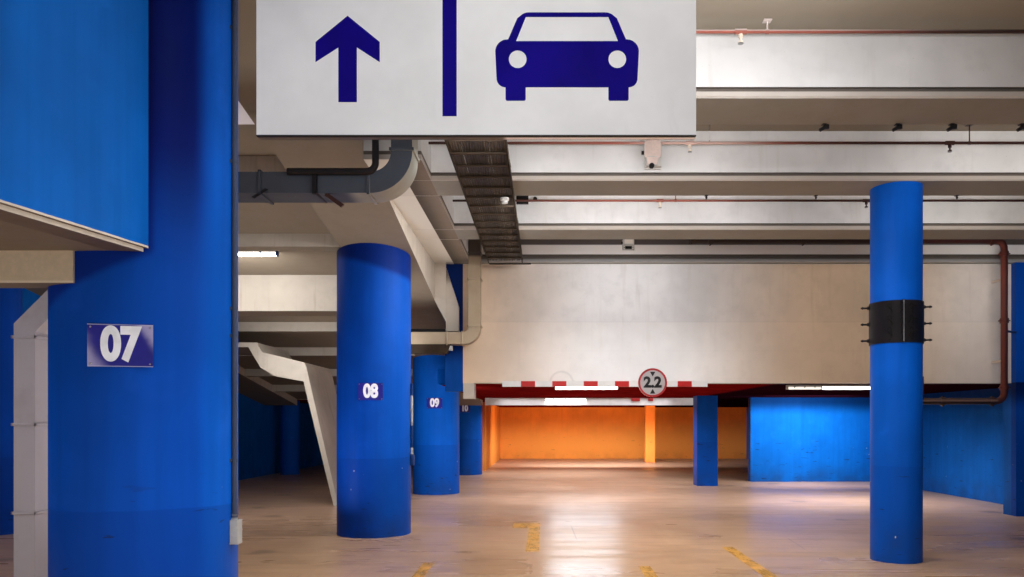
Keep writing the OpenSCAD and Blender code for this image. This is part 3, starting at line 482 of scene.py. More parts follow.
@maker
def garage_floor(colours):
    """Sealed concrete with a gloss, tyre tracks, stains, joints and hairline cracks."""
    f = Finish("garage_floor", roughness=0.3, specular=0.6)
    c = tuple(colours.floor)
    clouds = f.noise(0.35, 3, 0.6, shift=(3, 1, 0))
    blotch = f.noise(1.7, 4, 0.62)
    fine = f.noise(26.0, 2, 0.6)
    colour = f.shade(c, f.ease(clouds, 0.32, 0.7), 0.88, 1.14)
    colour = f.mix(f.ease(blotch, 0.42, 0.70) * 0.16, colour, f.shade(c, fine, 0.62, 0.90))
    across = f.noise(1.0, 4, 0.55, (0.22, 2.6, 1.0), (7, 0, 0))
    colour = f.mix(f.ease(across, 0.45, 0.72) * 0.22, colour, dim(c, 0.72))
    wander = (f.noise(0.22, 2, shift=(0, 9, 0)) - 0.5) * 0.9
    track = f.noise(1.1, 4, 0.6, (3.0, 0.14, 1.0))
    tracks = (near(abs(f.across + wander) - 0.85, 0.0, 0.42) * f.ease(track, 0.35, 0.75))
    colour = f.mix(tracks * 0.22, colour, dim(c, 0.6))
    rubber = f.ease(f.noise(2.6, 3, 0.5, (1.6, 0.22, 1.0), (5, 2, 0)), 0.55, 0.85)
    streaks = f.ease(f.noise(3.0, 4, 0.70, (0.55, 1.8, 1.0), (1, 4, 0)), 0.40, 0.66)
    colour = f.mix(streaks * 0.40, colour, dim(c, (0.62, 0.54, 0.46)))
    colour = f.mix(rubber * 0.12, colour, SOIL)
    oil_cells = f.flat_cells(0.42, f.x, f.y)
    oil = f.fade(oil_cells + (blotch - 0.5) * 0.25, 0.02, 0.10)
    # Painted reflection: the floor turns cooler and less orange farther off.
    far = f.ease(f.along, 7.0, 15.0)
    colour = f.tint(far, colour, (0.97, 1.0, 1.20))
    bays = f.ease(abs(f.across), 3.2, 3.9)
    colour = f.mix(oil * bays * 0.5, colour, (0.06, 0.045, 0.035))
    specks = f.fade(f.flat_cells(14.0, f.x, f.y), 0.03, 0.05) * f.ease(f.noise(2.0, 1), 0.5, 0.6)
    colour = f.mix(specks * 0.25, colour, (0.50, 0.43, 0.36))
    cracks = f.fade(f.flat_cells(0.32, f.x, f.y, "DISTANCE_TO_EDGE"), 0.0, 0.006)
    cracks = cracks * f.ease(f.noise(0.6, 3, shift=(0, 4, 0)), 0.48, 0.6)
    joint = near(f.along % 7.2, 3.6, 0.006).maximum(near(abs(f.across), 3.05, 0.006))
    colour = f.mix((cracks + joint) * 0.4, colour, SOIL)
    dust = f.fade(f.x, LEFT_IN, LEFT_IN + 0.8) + f.ease(f.x, RIGHT_IN - 0.8, RIGHT_IN)
    colour = f.mix(dust * f.ease(fine, 0.4, 0.6) * 0.4, colour, (0.40, 0.35, 0.29))
    roughness = 0.22 + f.ease(clouds, 0.3, 0.7) * 0.10 + f.ease(across, 0.4, 0.7) * 0.10
    roughness = roughness + tracks * 0.06 + (1.0 - f.ease(f.face_z, 0.4, 0.6)) * 0.4
    roughness = roughness + f.ease(f.along, 9.0, 18.0) * 0.08
    height = fine * 0.35 - joint * 0.5
    return f.done(*with_cut(f, colour, roughness, height), 0.10, 0.006)


def concrete_body(f, c, board=0.6, stain=0.35, underside_shade=(0.35, 0.305, 0.245)):
    """Colour, roughness and height shared by the fair-faced and the painted concrete."""
    clouds = f.noise(0.7, 3, 0.6)
    mottle = f.noise(5.0, 3, 0.6, shift=(2, 0, 1))
    colour = f.shade(c, f.ease(clouds, 0.3, 0.7), 0.86, 1.08)
    colour = f.mix(f.ease(mottle, 0.45, 0.72) * 0.25, colour, dim(c, 0.72))
    streak = f.noise(1.0, 3, 0.62, (7.0, 7.0, 0.7), (1, 5, 0))
    colour = f.mix(f.ease(streak, 0.55, 0.78) * stain, colour, dim(c, (0.60, 0.53, 0.45)))
    pores = f.fade(f.cells(22.0), 0.055, 0.085) * f.ease(f.noise(3.0, 2), 0.46, 0.6)
    colour = f.mix(pores * 0.55, colour, dim(c, 0.3))
    boards = near(f.x % 1.2, 0.6, 0.004) * board
    colour = f.mix(boards * 0.3, colour, dim(c, 0.6))
    # Painted shade: faces that look down are darker and browner.
    under = f.underside()
    colour = f.mix(under * 0.85, colour, dim(c, underside_shade))
    height = mottle * 0.6 - boards * 0.4
    return colour, 0.62 + mottle * 0.22, height


def in_shade(f, colour):
    """Paints shade on the haunch's upper part and paints the deck's stub end between column and pier."""
    left = f.fade(f.across, *LEFT_OF_PIER)
    block_y = low("end_wall_blocks").y
    haunch = left * f.at(f.y, block_y)
    colour = f.mix(haunch * f.ease(f.up, 4.15, 4.40) * 0.9, colour, HAUNCH_SHADE)
    stub = left * f.at(f.y, MID_FRONT_Y) * f.fade(f.z, MID_TOP, MID_TOP + 0.02)
    return f.mix(stub, colour, STUB_BLUE)


@maker
def raw_concrete(colours):
    """Fair-faced concrete: decks, landings and the ramp, greyer on the outside and the top."""
    f = Finish("raw_concrete", roughness=0.75)
    colour, roughness, height = concrete_body(f, tuple(colours.concrete), 0.8, 0.45)
    top = f.ease(f.face_z, 0.5, 0.8) * f.ease(f.z, ROOF_Z - 0.02, ROOF_Z - 0.01)
    weather = f.noise(0.5, 4, 0.65)
    deck = f.mix(f.ease(weather, 0.35, 0.7), (0.33, 0.32, 0.30), (0.46, 0.445, 0.415))
    deck = f.mix(f.ease(f.noise(6.0, 5), 0.5, 0.75) * 0.4, deck, (0.22, 0.21, 0.195))
    grid = near(f.along % 4.8, 2.4, 0.012).maximum(near(f.across % 4.8, 2.4, 0.012))
    deck = f.mix(grid * 0.7, deck, (0.07, 0.065, 0.06))
    colour = f.mix(top, colour, deck)
    beam_low, beam_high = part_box("landing_beam")
    on_beam = f.at(f.y, beam_low.y)
    on_beam = on_beam * f.fade(f.x, beam_high.x, beam_high.x + 0.02)
    colour = f.mix(on_beam * 0.7, colour, f.shade((0.62, 0.47, 0.30), f.noise(24.0, 4), 0.7, 1.15))
    rim = near(f.z, beam_high.z - 0.008, 0.010) + near(f.z, beam_low.z + 0.008, 0.010)
    colour = f.mix(on_beam * rim * 0.5, colour, (0.82, 0.70, 0.55))
    chipped = near(f.z, beam_high.z, 0.016) * f.ease(f.noise(13.0, 3, shift=(2, 0, 0)), 0.60, 0.64)
    colour = f.mix(on_beam * chipped, colour, (0.03, 0.02, 0.015))
    colour = in_shade(f, colour)
    under = f.underside() * f.ease(f.z, SOFFIT_Z - 0.6, SOFFIT_Z - 0.55)
    at_front = under * f.fade(f.along, 6.6, 6.7)
    colour = f.mix(at_front * 0.8, colour, (0.27, 0.24, 0.19))
    # Painted light: a pale patch on the soffit towards the left.
    lit = under * f.fade(f.across, -4.015, -4.005)
    lit = lit * f.fade(f.along, 7.29, 7.31)
    colour = f.mix(lit, colour, (0.93, 0.90, 0.93))
    return f.done(*with_cut(f, colour, roughness, height - grid * top * 0.6), 0.3, 0.008)


@maker
def painted_concrete(colours):
    """Pale masonry paint over concrete: ribs, the hall's end wall and the low beam."""
    f = Finish("painted_concrete", roughness=0.7)
    c = tuple(colours.masonry)
    colour, roughness, height = concrete_body(f, c, 0.25, 0.22, (0.26, 0.25, 0.195))
    on_wall = f.at(f.y, END_WALL_Y)
    on_wall = on_wall * f.fade(f.z, RIB_Z - 0.01, RIB_Z)
    lift = near(f.z, WALL_LIFT_Z, 0.012) + near(f.z, WALL_FOOT_Z, 0.012)
    colour = f.mix(on_wall * lift * 0.16, colour, dim(c, 0.55))
    below = on_wall * f.fade(f.z, WALL_LIFT_Z - 0.01, WALL_LIFT_Z)
    colour = f.mix(below * 0.35, colour, (0.80, 0.775, 0.74))
    across = f.x - GHOST_X
    up = f.z - GHOST_Z
    radius = (across * across + up * up) ** 0.5
    ghost = near(radius, GHOST_R, 0.035) * on_wall * f.ease(up, -0.05, 0.02)
    colour = f.mix(ghost * 0.35, colour, dim(c, 0.62))
    # Painted shade: the end wall turns darker and warmer away from its lit middle.
    shade_from_middle = f.ease(abs(f.across - 0.8), 0.5, 3.4) * f.ease(f.across, 5.4, 7.0, 1.0, 0.55)
    colour = f.tint(on_wall * shade_from_middle * 0.9, colour, (0.86, 0.61, 0.38))
    above_edge = f.z - RIB_Z
    # Painted shade: the ribs' lower lip is darker, more so on the farther ribs, and the groove above it near
    # black.
    lip = f.fade(above_edge, 0.056, 0.060) * f.ease(above_edge, 0.001, 0.003)
    farther = f.ease(f.y, rib_front(3) - 0.4, rib_front(3) - 0.3)
    farther = farther * f.fade(f.y, rib_front(5) - 0.2, rib_front(5) - 0.1)
    colour = f.mix(lip * (0.72 + farther * 0.13), colour, dim(c, (0.55, 0.47, 0.40)))
    groove = f.band(above_edge, 0.056, 0.094, 0.002)
    colour = f.mix(groove * 0.95, colour, dim(c, (0.13, 0.10, 0.08)))
    # Painted light and shade on the last rib: shade along its foot, a lit band above, and the main pipe's
    # shadow higher up.
    last_rib = f.at(f.y, rib_front(5))
    foot = f.mix(f.ease(above_edge, 0.0, 0.135), dim(c, 0.40), (0.055, 0.042, 0.032))
    colour = f.mix(last_rib * f.fade(above_edge, 0.130, 0.150), colour, foot)
    colour = f.mix(last_rib * f.band(above_edge, 0.150, 0.300, 0.010) * 0.8, colour, (0.86, 0.83, 0.80))
    colour = f.mix(last_rib * f.ease(above_edge, 0.305, 0.320) * 0.9, colour, (0.030, 0.014, 0.010))
    # Painted shade under the tie beam, darker towards the ramp, with a painted lit margin next to the ramp.
    under_tie = f.underside() * f.fade(f.x, TIE_RIGHT - 0.002, TIE_RIGHT + 0.002)
    under_tie = under_tie * f.ease(f.x, TIE_LEFT - 0.02, TIE_LEFT)
    under_tie = under_tie * f.ease(f.y, rib_front(2) + 0.3, rib_front(2) + 0.5)
    shade = f.mix(f.ease(f.x, TIE_LEFT + TIE_PALE, TIE_RIGHT), (0.050, 0.036, 0.022), (0.20, 0.155, 0.115))
    pale = f.fade(f.x, TIE_LEFT + TIE_PALE - 0.006, TIE_LEFT + TIE_PALE)
    colour = f.mix(under_tie * 0.9, colour, f.mix(pale, shade, (0.66, 0.62, 0.54)))
    # Painted shade: the ribs turn warmer towards the right of the hall.
    painted_shade_aside = f.ease(f.across, 2.0, 7.0) * (1.0 - on_wall)
    colour = in_shade(f, f.tint(painted_shade_aside, colour, (1.0, 0.955, 0.89)))
    return f.done(*with_cut(f, colour, roughness, height), 0.25, 0.006)


@maker
def maroon_ceiling(colours):
    """Dark maroon underside; the deck's top and edges are plain concrete."""
    f = Finish("maroon_ceiling", roughness=0.8, specular=0.0)
    c = tuple(colours.maroon)
    paint = f.shade(c, f.ease(f.noise(2.2, 5), 0.3, 0.7), 0.75, 1.3)
    paint = f.mix(f.ease(f.noise(9.0, 4), 0.6, 0.75) * 0.4, paint, (0.06, 0.02, 0.018))
    # Painted shade: near black right of the round column.
    painted_shade_aside = f.ease(f.x, RIGHT_ROW - 0.2, RIGHT_ROW + 0.1) * 0.92
    paint = f.mix(painted_shade_aside, paint, (0.003, 0.002, 0.006))
    beside = f.fade(f.across, *LEFT_OF_PIER)
    beside = beside * f.fade(f.y, MID_FRONT_Y + 0.4, MID_FRONT_Y + 0.5)
    paint = f.mix(beside, paint, STUB_BLUE)
    plain, roughness, height = concrete_body(f, tuple(colours.concrete))
    plain = in_shade(f, plain)
    under = f.fade(f.z, MID_Z + 0.01, MID_Z + 0.02)
    return f.done(f.mix(under, plain, paint), roughness - under * 0.2, height, 0.25, 0.006)


def blue_paint(f, c, dado=0.0):
    """Rolled masonry paint: faint roller stripes, thin spots, scuffs and chips near the floor."""
    roller = f.noise(1.0, 2, 0.6, (9.0, 9.0, 0.55), (0, 2, 1))
    clouds = f.noise(0.9, 3, 0.6)
    colour = f.shade(c, f.ease(clouds, 0.3, 0.7), 0.86, 1.14)
    colour = f.mix(f.ease(roller, 0.38, 0.68) * 0.30, colour, dim(c, 0.72))
    lighter = tuple(min(1.0, v * 1.35 + 0.01) for v in c)
    colour = f.mix(f.ease(f.noise(3.1, 3, shift=(0, 7, 0)), 0.58, 0.76) * 0.28, colour, lighter)
    wobble = (f.noise(1.6, 2, shift=(4, 0, 0)) - 0.5) * 0.03
    skirt = f.fade(f.up + wobble, DADO_H - 0.004, DADO_H + 0.004) * dado
    colour = f.mix(skirt * 0.55, colour, dim(c, (0.7, 0.62, 0.70)))
    grime = f.fade(f.up + wobble * 6.0, 0.0, 0.55) * f.ease(f.noise(2.4, 3), 0.35, 0.65)
    colour = f.mix(grime * 0.45, colour, (0.016, 0.03, 0.075))
    low_part = f.fade(f.up, 0.9, 1.5)
    scuff = f.ease(f.noise(3.4, 3, 0.6, (1.0, 1.0, 5.5), (6, 1, 3)), 0.66, 0.70) * low_part
    colour = f.mix(scuff * 0.75, colour, (0.012, 0.016, 0.035))
    chip_cells = f.cells(6.5, shift=(0.4, 0.2, 0.9), factors=(1.0, 1.0, 0.55))
    chips = f.fade(chip_cells + (f.noise(30.0, 3) - 0.5) * 0.10, 0.035, 0.055)
    chips = chips * f.fade(f.up, 1.15, 1.35) * f.ease(f.noise(1.3, 2), 0.5, 0.56)
    colour = f.mix(chips, colour, (0.62, 0.60, 0.56))
    roughness = 0.42 + roller * 0.16 + skirt * -0.06 + chips * 0.3
    height = roller * 0.5
    return colour, roughness, height


def outer_render(f, colour, roughness, height):
    """Plain grey render on the outer sides, outside the painted hall."""
    left, right, top = low("left_wall").x, high("right_wall").x, ROOF_Z
    outside = f.fade(f.x, left + 0.002, left + 0.004) + f.ease(f.x, right - 0.004, right - 0.002)
    outside = outside + f.ease(f.y, BACK_Y - 0.004, BACK_Y - 0.002)
    outside = outside + f.ease(f.z, top - 0.004, top - 0.002)
    outside = f.ease(outside, 0.4, 0.6)
    clouds = f.noise(0.45, 3, 0.62)
    plain = f.mix(f.ease(clouds, 0.3, 0.7), (0.40, 0.385, 0.36), (0.52, 0.50, 0.465))
    streak = f.noise(1.0, 3, 0.6, (3.0, 3.0, 0.25), (2, 0, 0))
    rain = f.ease(f.z, ROOF_Z - 2.2, ROOF_Z) * f.ease(streak, 0.5, 0.75)
    plain = f.mix(rain * 0.55, plain, (0.20, 0.19, 0.175))
    foot = f.fade(f.z + (streak - 0.5) * 0.5, 0.0, 0.9)
    plain = f.mix(foot * 0.45, plain, (0.24, 0.22, 0.19))
    bay = near(f.along % (RIB_PITCH * 2), RIB_PITCH, 0.010)
    lift = near(f.z, MID_Z + 0.1, 0.010)
    seam = f.ease(bay + lift, 0.1, 0.9)
    plain = f.mix(seam * 0.6, plain, (0.12, 0.115, 0.105))
    height = f.mix_value(outside, height, seam * -1.2)
    return f.mix(outside, colour, plain), f.mix_value(outside, roughness, 0.85), height


@maker
def blue_wall_paint(colours):
    """Blue walls inside, with a cream strip along the landing wall's lower edge."""
    f = Finish("blue_wall_paint", roughness=0.45, specular=0.12)
    c = tuple(colours.wall_blue)
    colour, roughness, height = blue_paint(f, c)
    on_landing = f.band(f.x, low("landing_wall").x - 0.01, high("landing_wall").x + 0.01, 0.005)
    on_landing = on_landing * f.fade(f.y, high("landing_wall").y + 0.1, high("landing_wall").y + 0.2)
    strip_z = low("landing_wall").z + LANDING_STRIP + f.along * LANDING_RISE
    strip = on_landing * f.fade(f.z + (f.noise(7.0, 3) - 0.5) * 0.006, strip_z - 0.001, strip_z + 0.001)
    cream = f.shade((0.66, 0.58, 0.47), f.noise(12.0, 4), 0.78, 1.12)
    # The strip's underside is bare concrete, darkened as painted shade.
    bare_shaded_underside = f.shade((0.15, 0.11, 0.075), f.noise(6.0, 4), 0.75, 1.2)
    cream = f.mix(f.underside(), cream, bare_shaded_underside)
    # Painted shade: the pale strip is darker high up, away from the landing.
    cream = f.mix(f.ease(f.up, 4.04, 4.22) * (1.0 - on_landing), cream, HAUNCH_SHADE)
    colour = f.mix(strip, colour, cream)
    # Painted shade: the blue walls right of the round column turn near black just below the low ceiling.
    ceiling = f.ease(f.x, RIGHT_ROW, RIGHT_ROW + 0.6) * f.ease(f.z, MID_Z - 0.55, MID_Z - 0.12)
    ceiling = ceiling * f.fade(f.z, MID_Z, MID_Z + 0.02)
    colour = f.mix(ceiling * 0.85, colour, (0.001, 0.006, 0.035))
    # Painted shade on the end wall's pier, deeper higher up.
    pier_x = low("end_wall_pier").x
    on_pier = f.band(f.x, pier_x - 0.01, low("hall_end_wall").x + 0.01, 0.004)
    on_pier = on_pier * f.band(f.y, END_WALL_Y - 0.02, END_WALL_Y + 1.5, 0.01)
    shaded = f.mix(1.0, colour, f.mix(f.ease(f.up, 2.7, 3.1), (0.5, 0.42, 0.5), (0.25, 0.14, 0.25)),
                   "MULTIPLY")
    colour = f.mix(on_pier, colour, shaded)
    # Painted shade on the far right pier by the end wall.
    far_pier = f.ease(f.across, 7.6, 7.62) * f.band(f.y, END_WALL_Y - 0.16, END_WALL_Y - 0.005, 0.004)
    colour = f.tint(far_pier, colour, (0.7, 0.5, 0.7))
    return f.done(*with_cut(f, *outer_render(f, colour, roughness, height)), 0.22, 0.004)


@maker
def blue_column_paint(colours):
    """Brighter blue of the columns, with a darker skirt below a painted line, and painted shade and shadows
    on the left row.
    """
    f = Finish("blue_column_paint", roughness=0.4, specular=0.12)
    colour, roughness, height = blue_paint(f, tuple(colours.column_blue), 1.0)
    # Painted shade on the first column: darker except at its right edge, with the landing's painted shadow
    # below and a deep painted shadow high up.
    first = f.fade(abs(f.y - LEFT_YS[0]), 0.62, 0.64) * f.fade(f.across, *LEFT_SIDE)
    inner = f.fade((f.x - LEFT_ROW) / LEFT_RADIUS, 0.80, 0.96)
    upper_shadow = f.ease(f.up, 2.45, 3.5)
    colour = f.tint(first * inner, colour, (0.94, 0.70, 0.82))
    edge_z = FLOOR_Z + 2.724 + (f.x - LEFT_ROW - 0.28) * 0.455
    landing_shadow = first * f.ease(f.z - edge_z, -0.04, 0.03) * f.fade(f.x, LEFT_ROW + 0.26, LEFT_ROW + 0.30)
    colour = f.tint(landing_shadow * 0.85, colour, (0.6, 0.26, 0.50))
    colour = f.tint(first * inner * upper_shadow * 0.95, colour, (0.35, 0.06, 0.22))
    # Painted shade on the other columns: the second darker on its left, all darker at the top as painted
    # shadow.
    others = f.ease(f.y, LEFT_YS[0] + 1.0, LEFT_YS[0] + 1.2) * f.fade(f.across, *LEFT_SIDE)
    cap = f.ease(f.z + (f.x - LEFT_ROW) * 0.30, FLOOR_Z + 3.98, FLOOR_Z + 4.10)
    second = others * f.fade(f.y, LEFT_YS[1] + 1.0, LEFT_YS[1] + 1.2)
    left_side = f.ease((f.x - LEFT_ROW) / LEFT_RADIUS, -0.2, 0.75, 1.0, 0.35)
    colour = f.tint(second * left_side, colour, (0.50, 0.46, 0.60))
    colour = f.tint(others * cap, colour, (0.50, 0.28, 0.42))
    return f.done(colour, roughness, height, 0.22, 0.004)


@maker
def orange_wall_paint(colours):
    """Orange paint with a brighter band below, worn at the floor."""
    f = Finish("orange_wall_paint", roughness=0.5)
    c = tuple(colours.orange)
    clouds = f.noise(0.8, 5, 0.6)
    colour = f.shade(c, f.ease(clouds, 0.3, 0.7), 0.80, 1.12)
    roller = f.noise(1.0, 4, 0.6, (8.0, 8.0, 0.5))
    colour = f.mix(f.ease(roller, 0.45, 0.7) * 0.3, colour, dim(c, 0.66))
    low_band = f.fade(f.up, ORANGE_BAND_H - 1.1, ORANGE_BAND_H + 0.5)
    colour = f.mix(low_band, colour, f.shade((1.0, 0.34, 0.06), clouds, 0.9, 1.0))
    grime = f.fade(f.up, 0.0, 0.5) * f.ease(f.noise(2.0, 4), 0.4, 0.65)
    colour = f.mix(grime * 0.2, colour, (0.20, 0.05, 0.015))
    scuff = f.ease(f.noise(3.0, 4, 0.6, (1.0, 1.0, 6.0), (2, 2, 2)), 0.66, 0.7) * f.fade(f.up, 0.8, 1.3)
    colour = f.mix(scuff * 0.6, colour, (0.05, 0.025, 0.018))
    height = f.noise(80.0, 1) * 0.4 + roller * 0.4
    return f.done(*outer_render(f, colour, 0.5 + roller * 0.15, height), 0.22, 0.004)


def metal_paint(name, c, rust=0.0, dust=(0.30, 0.26, 0.22), dust_share=0.4, gloss=0.4, metallic=0.0,
                grain=50.0, tint=None):
    """Painted or coated metal: uneven coat, dust on what faces up, rust spots."""
    f = Finish(name, roughness=gloss, metallic=metallic)
    clouds = f.noise(3.0, 5, 0.6)
    fine = f.noise(grain, 4, 0.6)
    colour = f.shade(c, f.ease(clouds, 0.3, 0.7), 0.78, 1.2)
    colour = f.mix(f.ease(fine, 0.5, 0.75) * 0.25, colour, dim(c, 0.6))
    spots = f.ease(f.noise(17.0, 5, 0.7, shift=(1, 8, 3)), 0.64, 0.72) * rust
    colour = f.mix(spots, colour, (0.13, 0.045, 0.018))
    if tint:
        colour = tint(f, colour)
    settled = f.ease(f.face_z, 0.2, 0.8) * f.ease(f.noise(5.0, 4), 0.3, 0.6) * dust_share
    colour = f.mix(settled, colour, dust)
    roughness = gloss + clouds * 0.18 + spots * 0.3 + settled * 0.3
    return f.done(colour, roughness, fine * 0.4, 0.15, 0.002)


@maker
def black_steel(colours):
    return metal_paint("black_steel", (0.006, 0.0055, 0.007), 0.10, gloss=0.42, dust=(0.045, 0.04, 0.036))


@maker
def aged_plastic(colours):
    return metal_paint("aged_plastic", (0.48, 0.375, 0.335), gloss=0.5)


@maker
def plain_steel(colours):
    return metal_paint("plain_steel", (0.40, 0.41, 0.42), 0.25, gloss=0.34, metallic=0.8, grain=120.0)


@maker
def grey_duct(colours):
    """Dull galvanised sheet with a faint flake pattern, streaks and dust on top."""
    f = Finish("grey_duct", roughness=0.5, metallic=0.2)
    c = tuple(colours.duct)
    flakes = f.cells(30.0, output="Color")
    # Painted light and shade: the riser is lighter, the main duct under the deck darker, and the elbow's
    # faces that don't look to the front lighter.
    riser = f.fade(f.up, 2.9, 3.5) * f.fade(f.x, LEFT_ROW - 1.5, LEFT_ROW - 1.2)
    at_wall = f.ease(f.y, END_WALL_Y - 2.0, END_WALL_Y - 1.0)
    shade_under_deck = f.ease(f.up, 3.7, 4.0)
    body = f.mix(riser, c, (0.42, 0.38, 0.40))
    body = f.mix(shade_under_deck * (1.0 - at_wall), body, (0.058, 0.068, 0.088))
    duct_end = high("main_duct").x
    lit_elbow = f.ease(f.x, duct_end - 0.72, duct_end - 0.55) * f.ease(f.face_y, -0.6, -0.2)
    body = f.mix(lit_elbow * (1.0 - at_wall) * 0.85, body, (0.36, 0.35, 0.29))
    body = f.mix(at_wall, body, (0.37, 0.285, 0.19))
    # Painted shade on the wall duct above the ribs' underside.
    body = f.mix(at_wall * f.ease(f.z, RIB_Z + 0.02, RIB_Z + 0.08) * 0.85, body, (0.03, 0.022, 0.026))
    colour = f.mix(f.ease(flakes, 0.1, 0.9) * 0.12, body, (0.5, 0.5, 0.5), "OVERLAY")
    clouds = f.noise(2.0, 5, 0.6)
    colour = f.tint(f.ease(clouds, 0.45, 0.7) * 0.3, colour, (0.6, 0.54, 0.48))
    streak = f.noise(1.0, 4, 0.6, (10.0, 10.0, 1.0))
    colour = f.mix(f.ease(streak, 0.6, 0.75) * 0.14, colour, (0.34, 0.31, 0.27))
    settled = f.ease(f.face_z, 0.3, 0.8) * 0.7
    colour = f.mix(settled, colour, (0.33, 0.29, 0.24))
    roughness = 0.40 + clouds * 0.25 + settled * 0.3
    return f.done(colour, roughness, clouds, 0.12, 0.004)


def pipe_shade_and_glare(f, colour):
    """Painted shade and highlights on the red pipes: the branches' ends and the main's level end near black,
    the main's riser dull and darker on its right, a glare and a pale top on two branches.
    """
    branch = f.fade(f.y, MAIN_Y - 0.9, MAIN_Y - 0.7)
    ends = f.ease(abs(f.across - 0.55), 0.4, 2.4) * branch
    level = f.fade(f.x, LANE_X + 4.0, RIGHT_IN - 2.2) * f.ease(f.z, MAIN_TOP_Z - 0.12, MAIN_TOP_Z - 0.08)
    rounded = f.ease(f.face_x, -0.75, 0.1)
    # Painted shade: the main is darker, most on its right side.
    colour = f.mix((1.0 - branch) * (0.66 + rounded * 0.30), colour, (0.030, 0.008, 0.005))
    colour = f.mix(branch * 0.45, colour, (0.34, 0.14, 0.11))
    # Painted highlight: a glare on the second branch.
    second = branch * f.band(f.y, rib_front(3) - 0.5, rib_front(3), 0.05)
    glare = second * f.fade(abs(f.across - 0.95), 0.25, 1.1)
    colour = f.mix(glare * 0.7, colour, (0.62, 0.46, 0.40))
    # Painted shade: the branches' ends and the main's level end are near black.
    colour = f.mix((ends + level * (1.0 - branch)) * 0.93, colour, (0.012, 0.006, 0.005))
    near_head = high("ramp_edge_beams").x + 0.65 + HEAD_PITCH
    axis = SOFFIT_Z - BRANCH_DROP
    rod = near(f.x, near_head + 0.23, 0.05) * f.ease(f.z, axis + 0.03, axis + 0.04)
    rod_colour = f.mix(f.ease(f.z, SOFFIT_Z - 0.072, SOFFIT_Z - 0.068), (0.66, 0.64, 0.62),
                       (0.16, 0.13, 0.105))
    colour = f.mix(second * f.ease(rod, 0.0, 0.1), colour, rod_colour)
    first_pipe = f.fade(f.y, rib_front(2) + 0.1, rib_front(2) + 0.2)
    below = f.mix_value(first_pipe, axis - 0.024, SOFFIT_Z - FIRST_BRANCH_DROP - 0.024)
    at_foot = (1.0 - branch) * f.fade(f.z, MAIN_LOW_Z + 0.09, MAIN_LOW_Z + 0.12)
    at_foot = at_foot * f.fade(f.x, MAIN_X - 0.16, MAIN_X - 0.12)
    foot = f.mix(near(f.z, MAIN_LOW_Z + 0.01, 0.035), (0.006, 0.004, 0.006), (0.16, 0.09, 0.065))
    colour = f.mix(at_foot * 0.9, colour, foot)
    lug = f.ease(f.y, MAIN_Y + 0.062, MAIN_Y + 0.070) * f.band(f.z, FLOOR_Z + 2.6, MAIN_TOP_Z - 0.3, 0.01)
    lug_colour = f.mix(f.ease(f.x, MAIN_X + 0.04, MAIN_X + 0.05), (0.58, 0.46, 0.35), (0.003, 0.012, 0.06))
    colour = f.mix(lug, colour, lug_colour)
    axis = SOFFIT_Z - FIRST_BRANCH_DROP
    # Painted highlight: the first branch's upper half is pale.
    upper = first_pipe * branch * f.ease(f.z - axis, -0.004, 0.006) * f.fade(f.across, 1.2, 3.6)
    colour = f.mix(upper * 0.85, colour, (0.66, 0.60, 0.57))
    nozzle = f.band(f.x, near_head - 0.05, near_head + 0.05, 0.005) * f.fade(f.z - below, -0.002, 0.002)
    return f.mix(nozzle * branch, colour, (0.80, 0.70, 0.58))


@maker
def red_pipe_paint(colours):
    """Oxide red paint with painted shade and highlights."""
    return metal_paint("red_pipe_paint", tuple(colours.red), 0.3, (0.12, 0.06, 0.05), gloss=0.42,
                       tint=pipe_shade_and_glare)


@maker
def brown_tray(colours):
    return metal_paint("brown_tray", tuple(colours.tray), 0.4, (0.12, 0.09, 0.065), 0.6, 0.6)


@maker
def black_cable(colours):
    """Cable sheath: three dark tones by cable, dust on top."""
    f = Finish("black_cable", roughness=0.5)
    tone = f.cells(9.0, output="Color", factors=(1.0, 0.0, 0.0))
    colour = f.node("ShaderNodeValToRGB",
                    {"stops": [(0.0, (0.004, 0.003, 0.002)), (0.45, (0.012, 0.008, 0.005)),
                               (0.8, (0.034, 0.023, 0.013))]}, {"Fac": tone})
    dusty = f.ease(f.noise(3.0, 5, 0.6, (8.0, 1.0, 8.0)), 0.4, 0.7) * 0.45
    colour = f.mix(dusty * 0.6, colour, (0.034, 0.023, 0.013))
    return f.done(colour, 0.5 + dusty * 0.3, f.noise(40.0, 3), 0.1, 0.002)


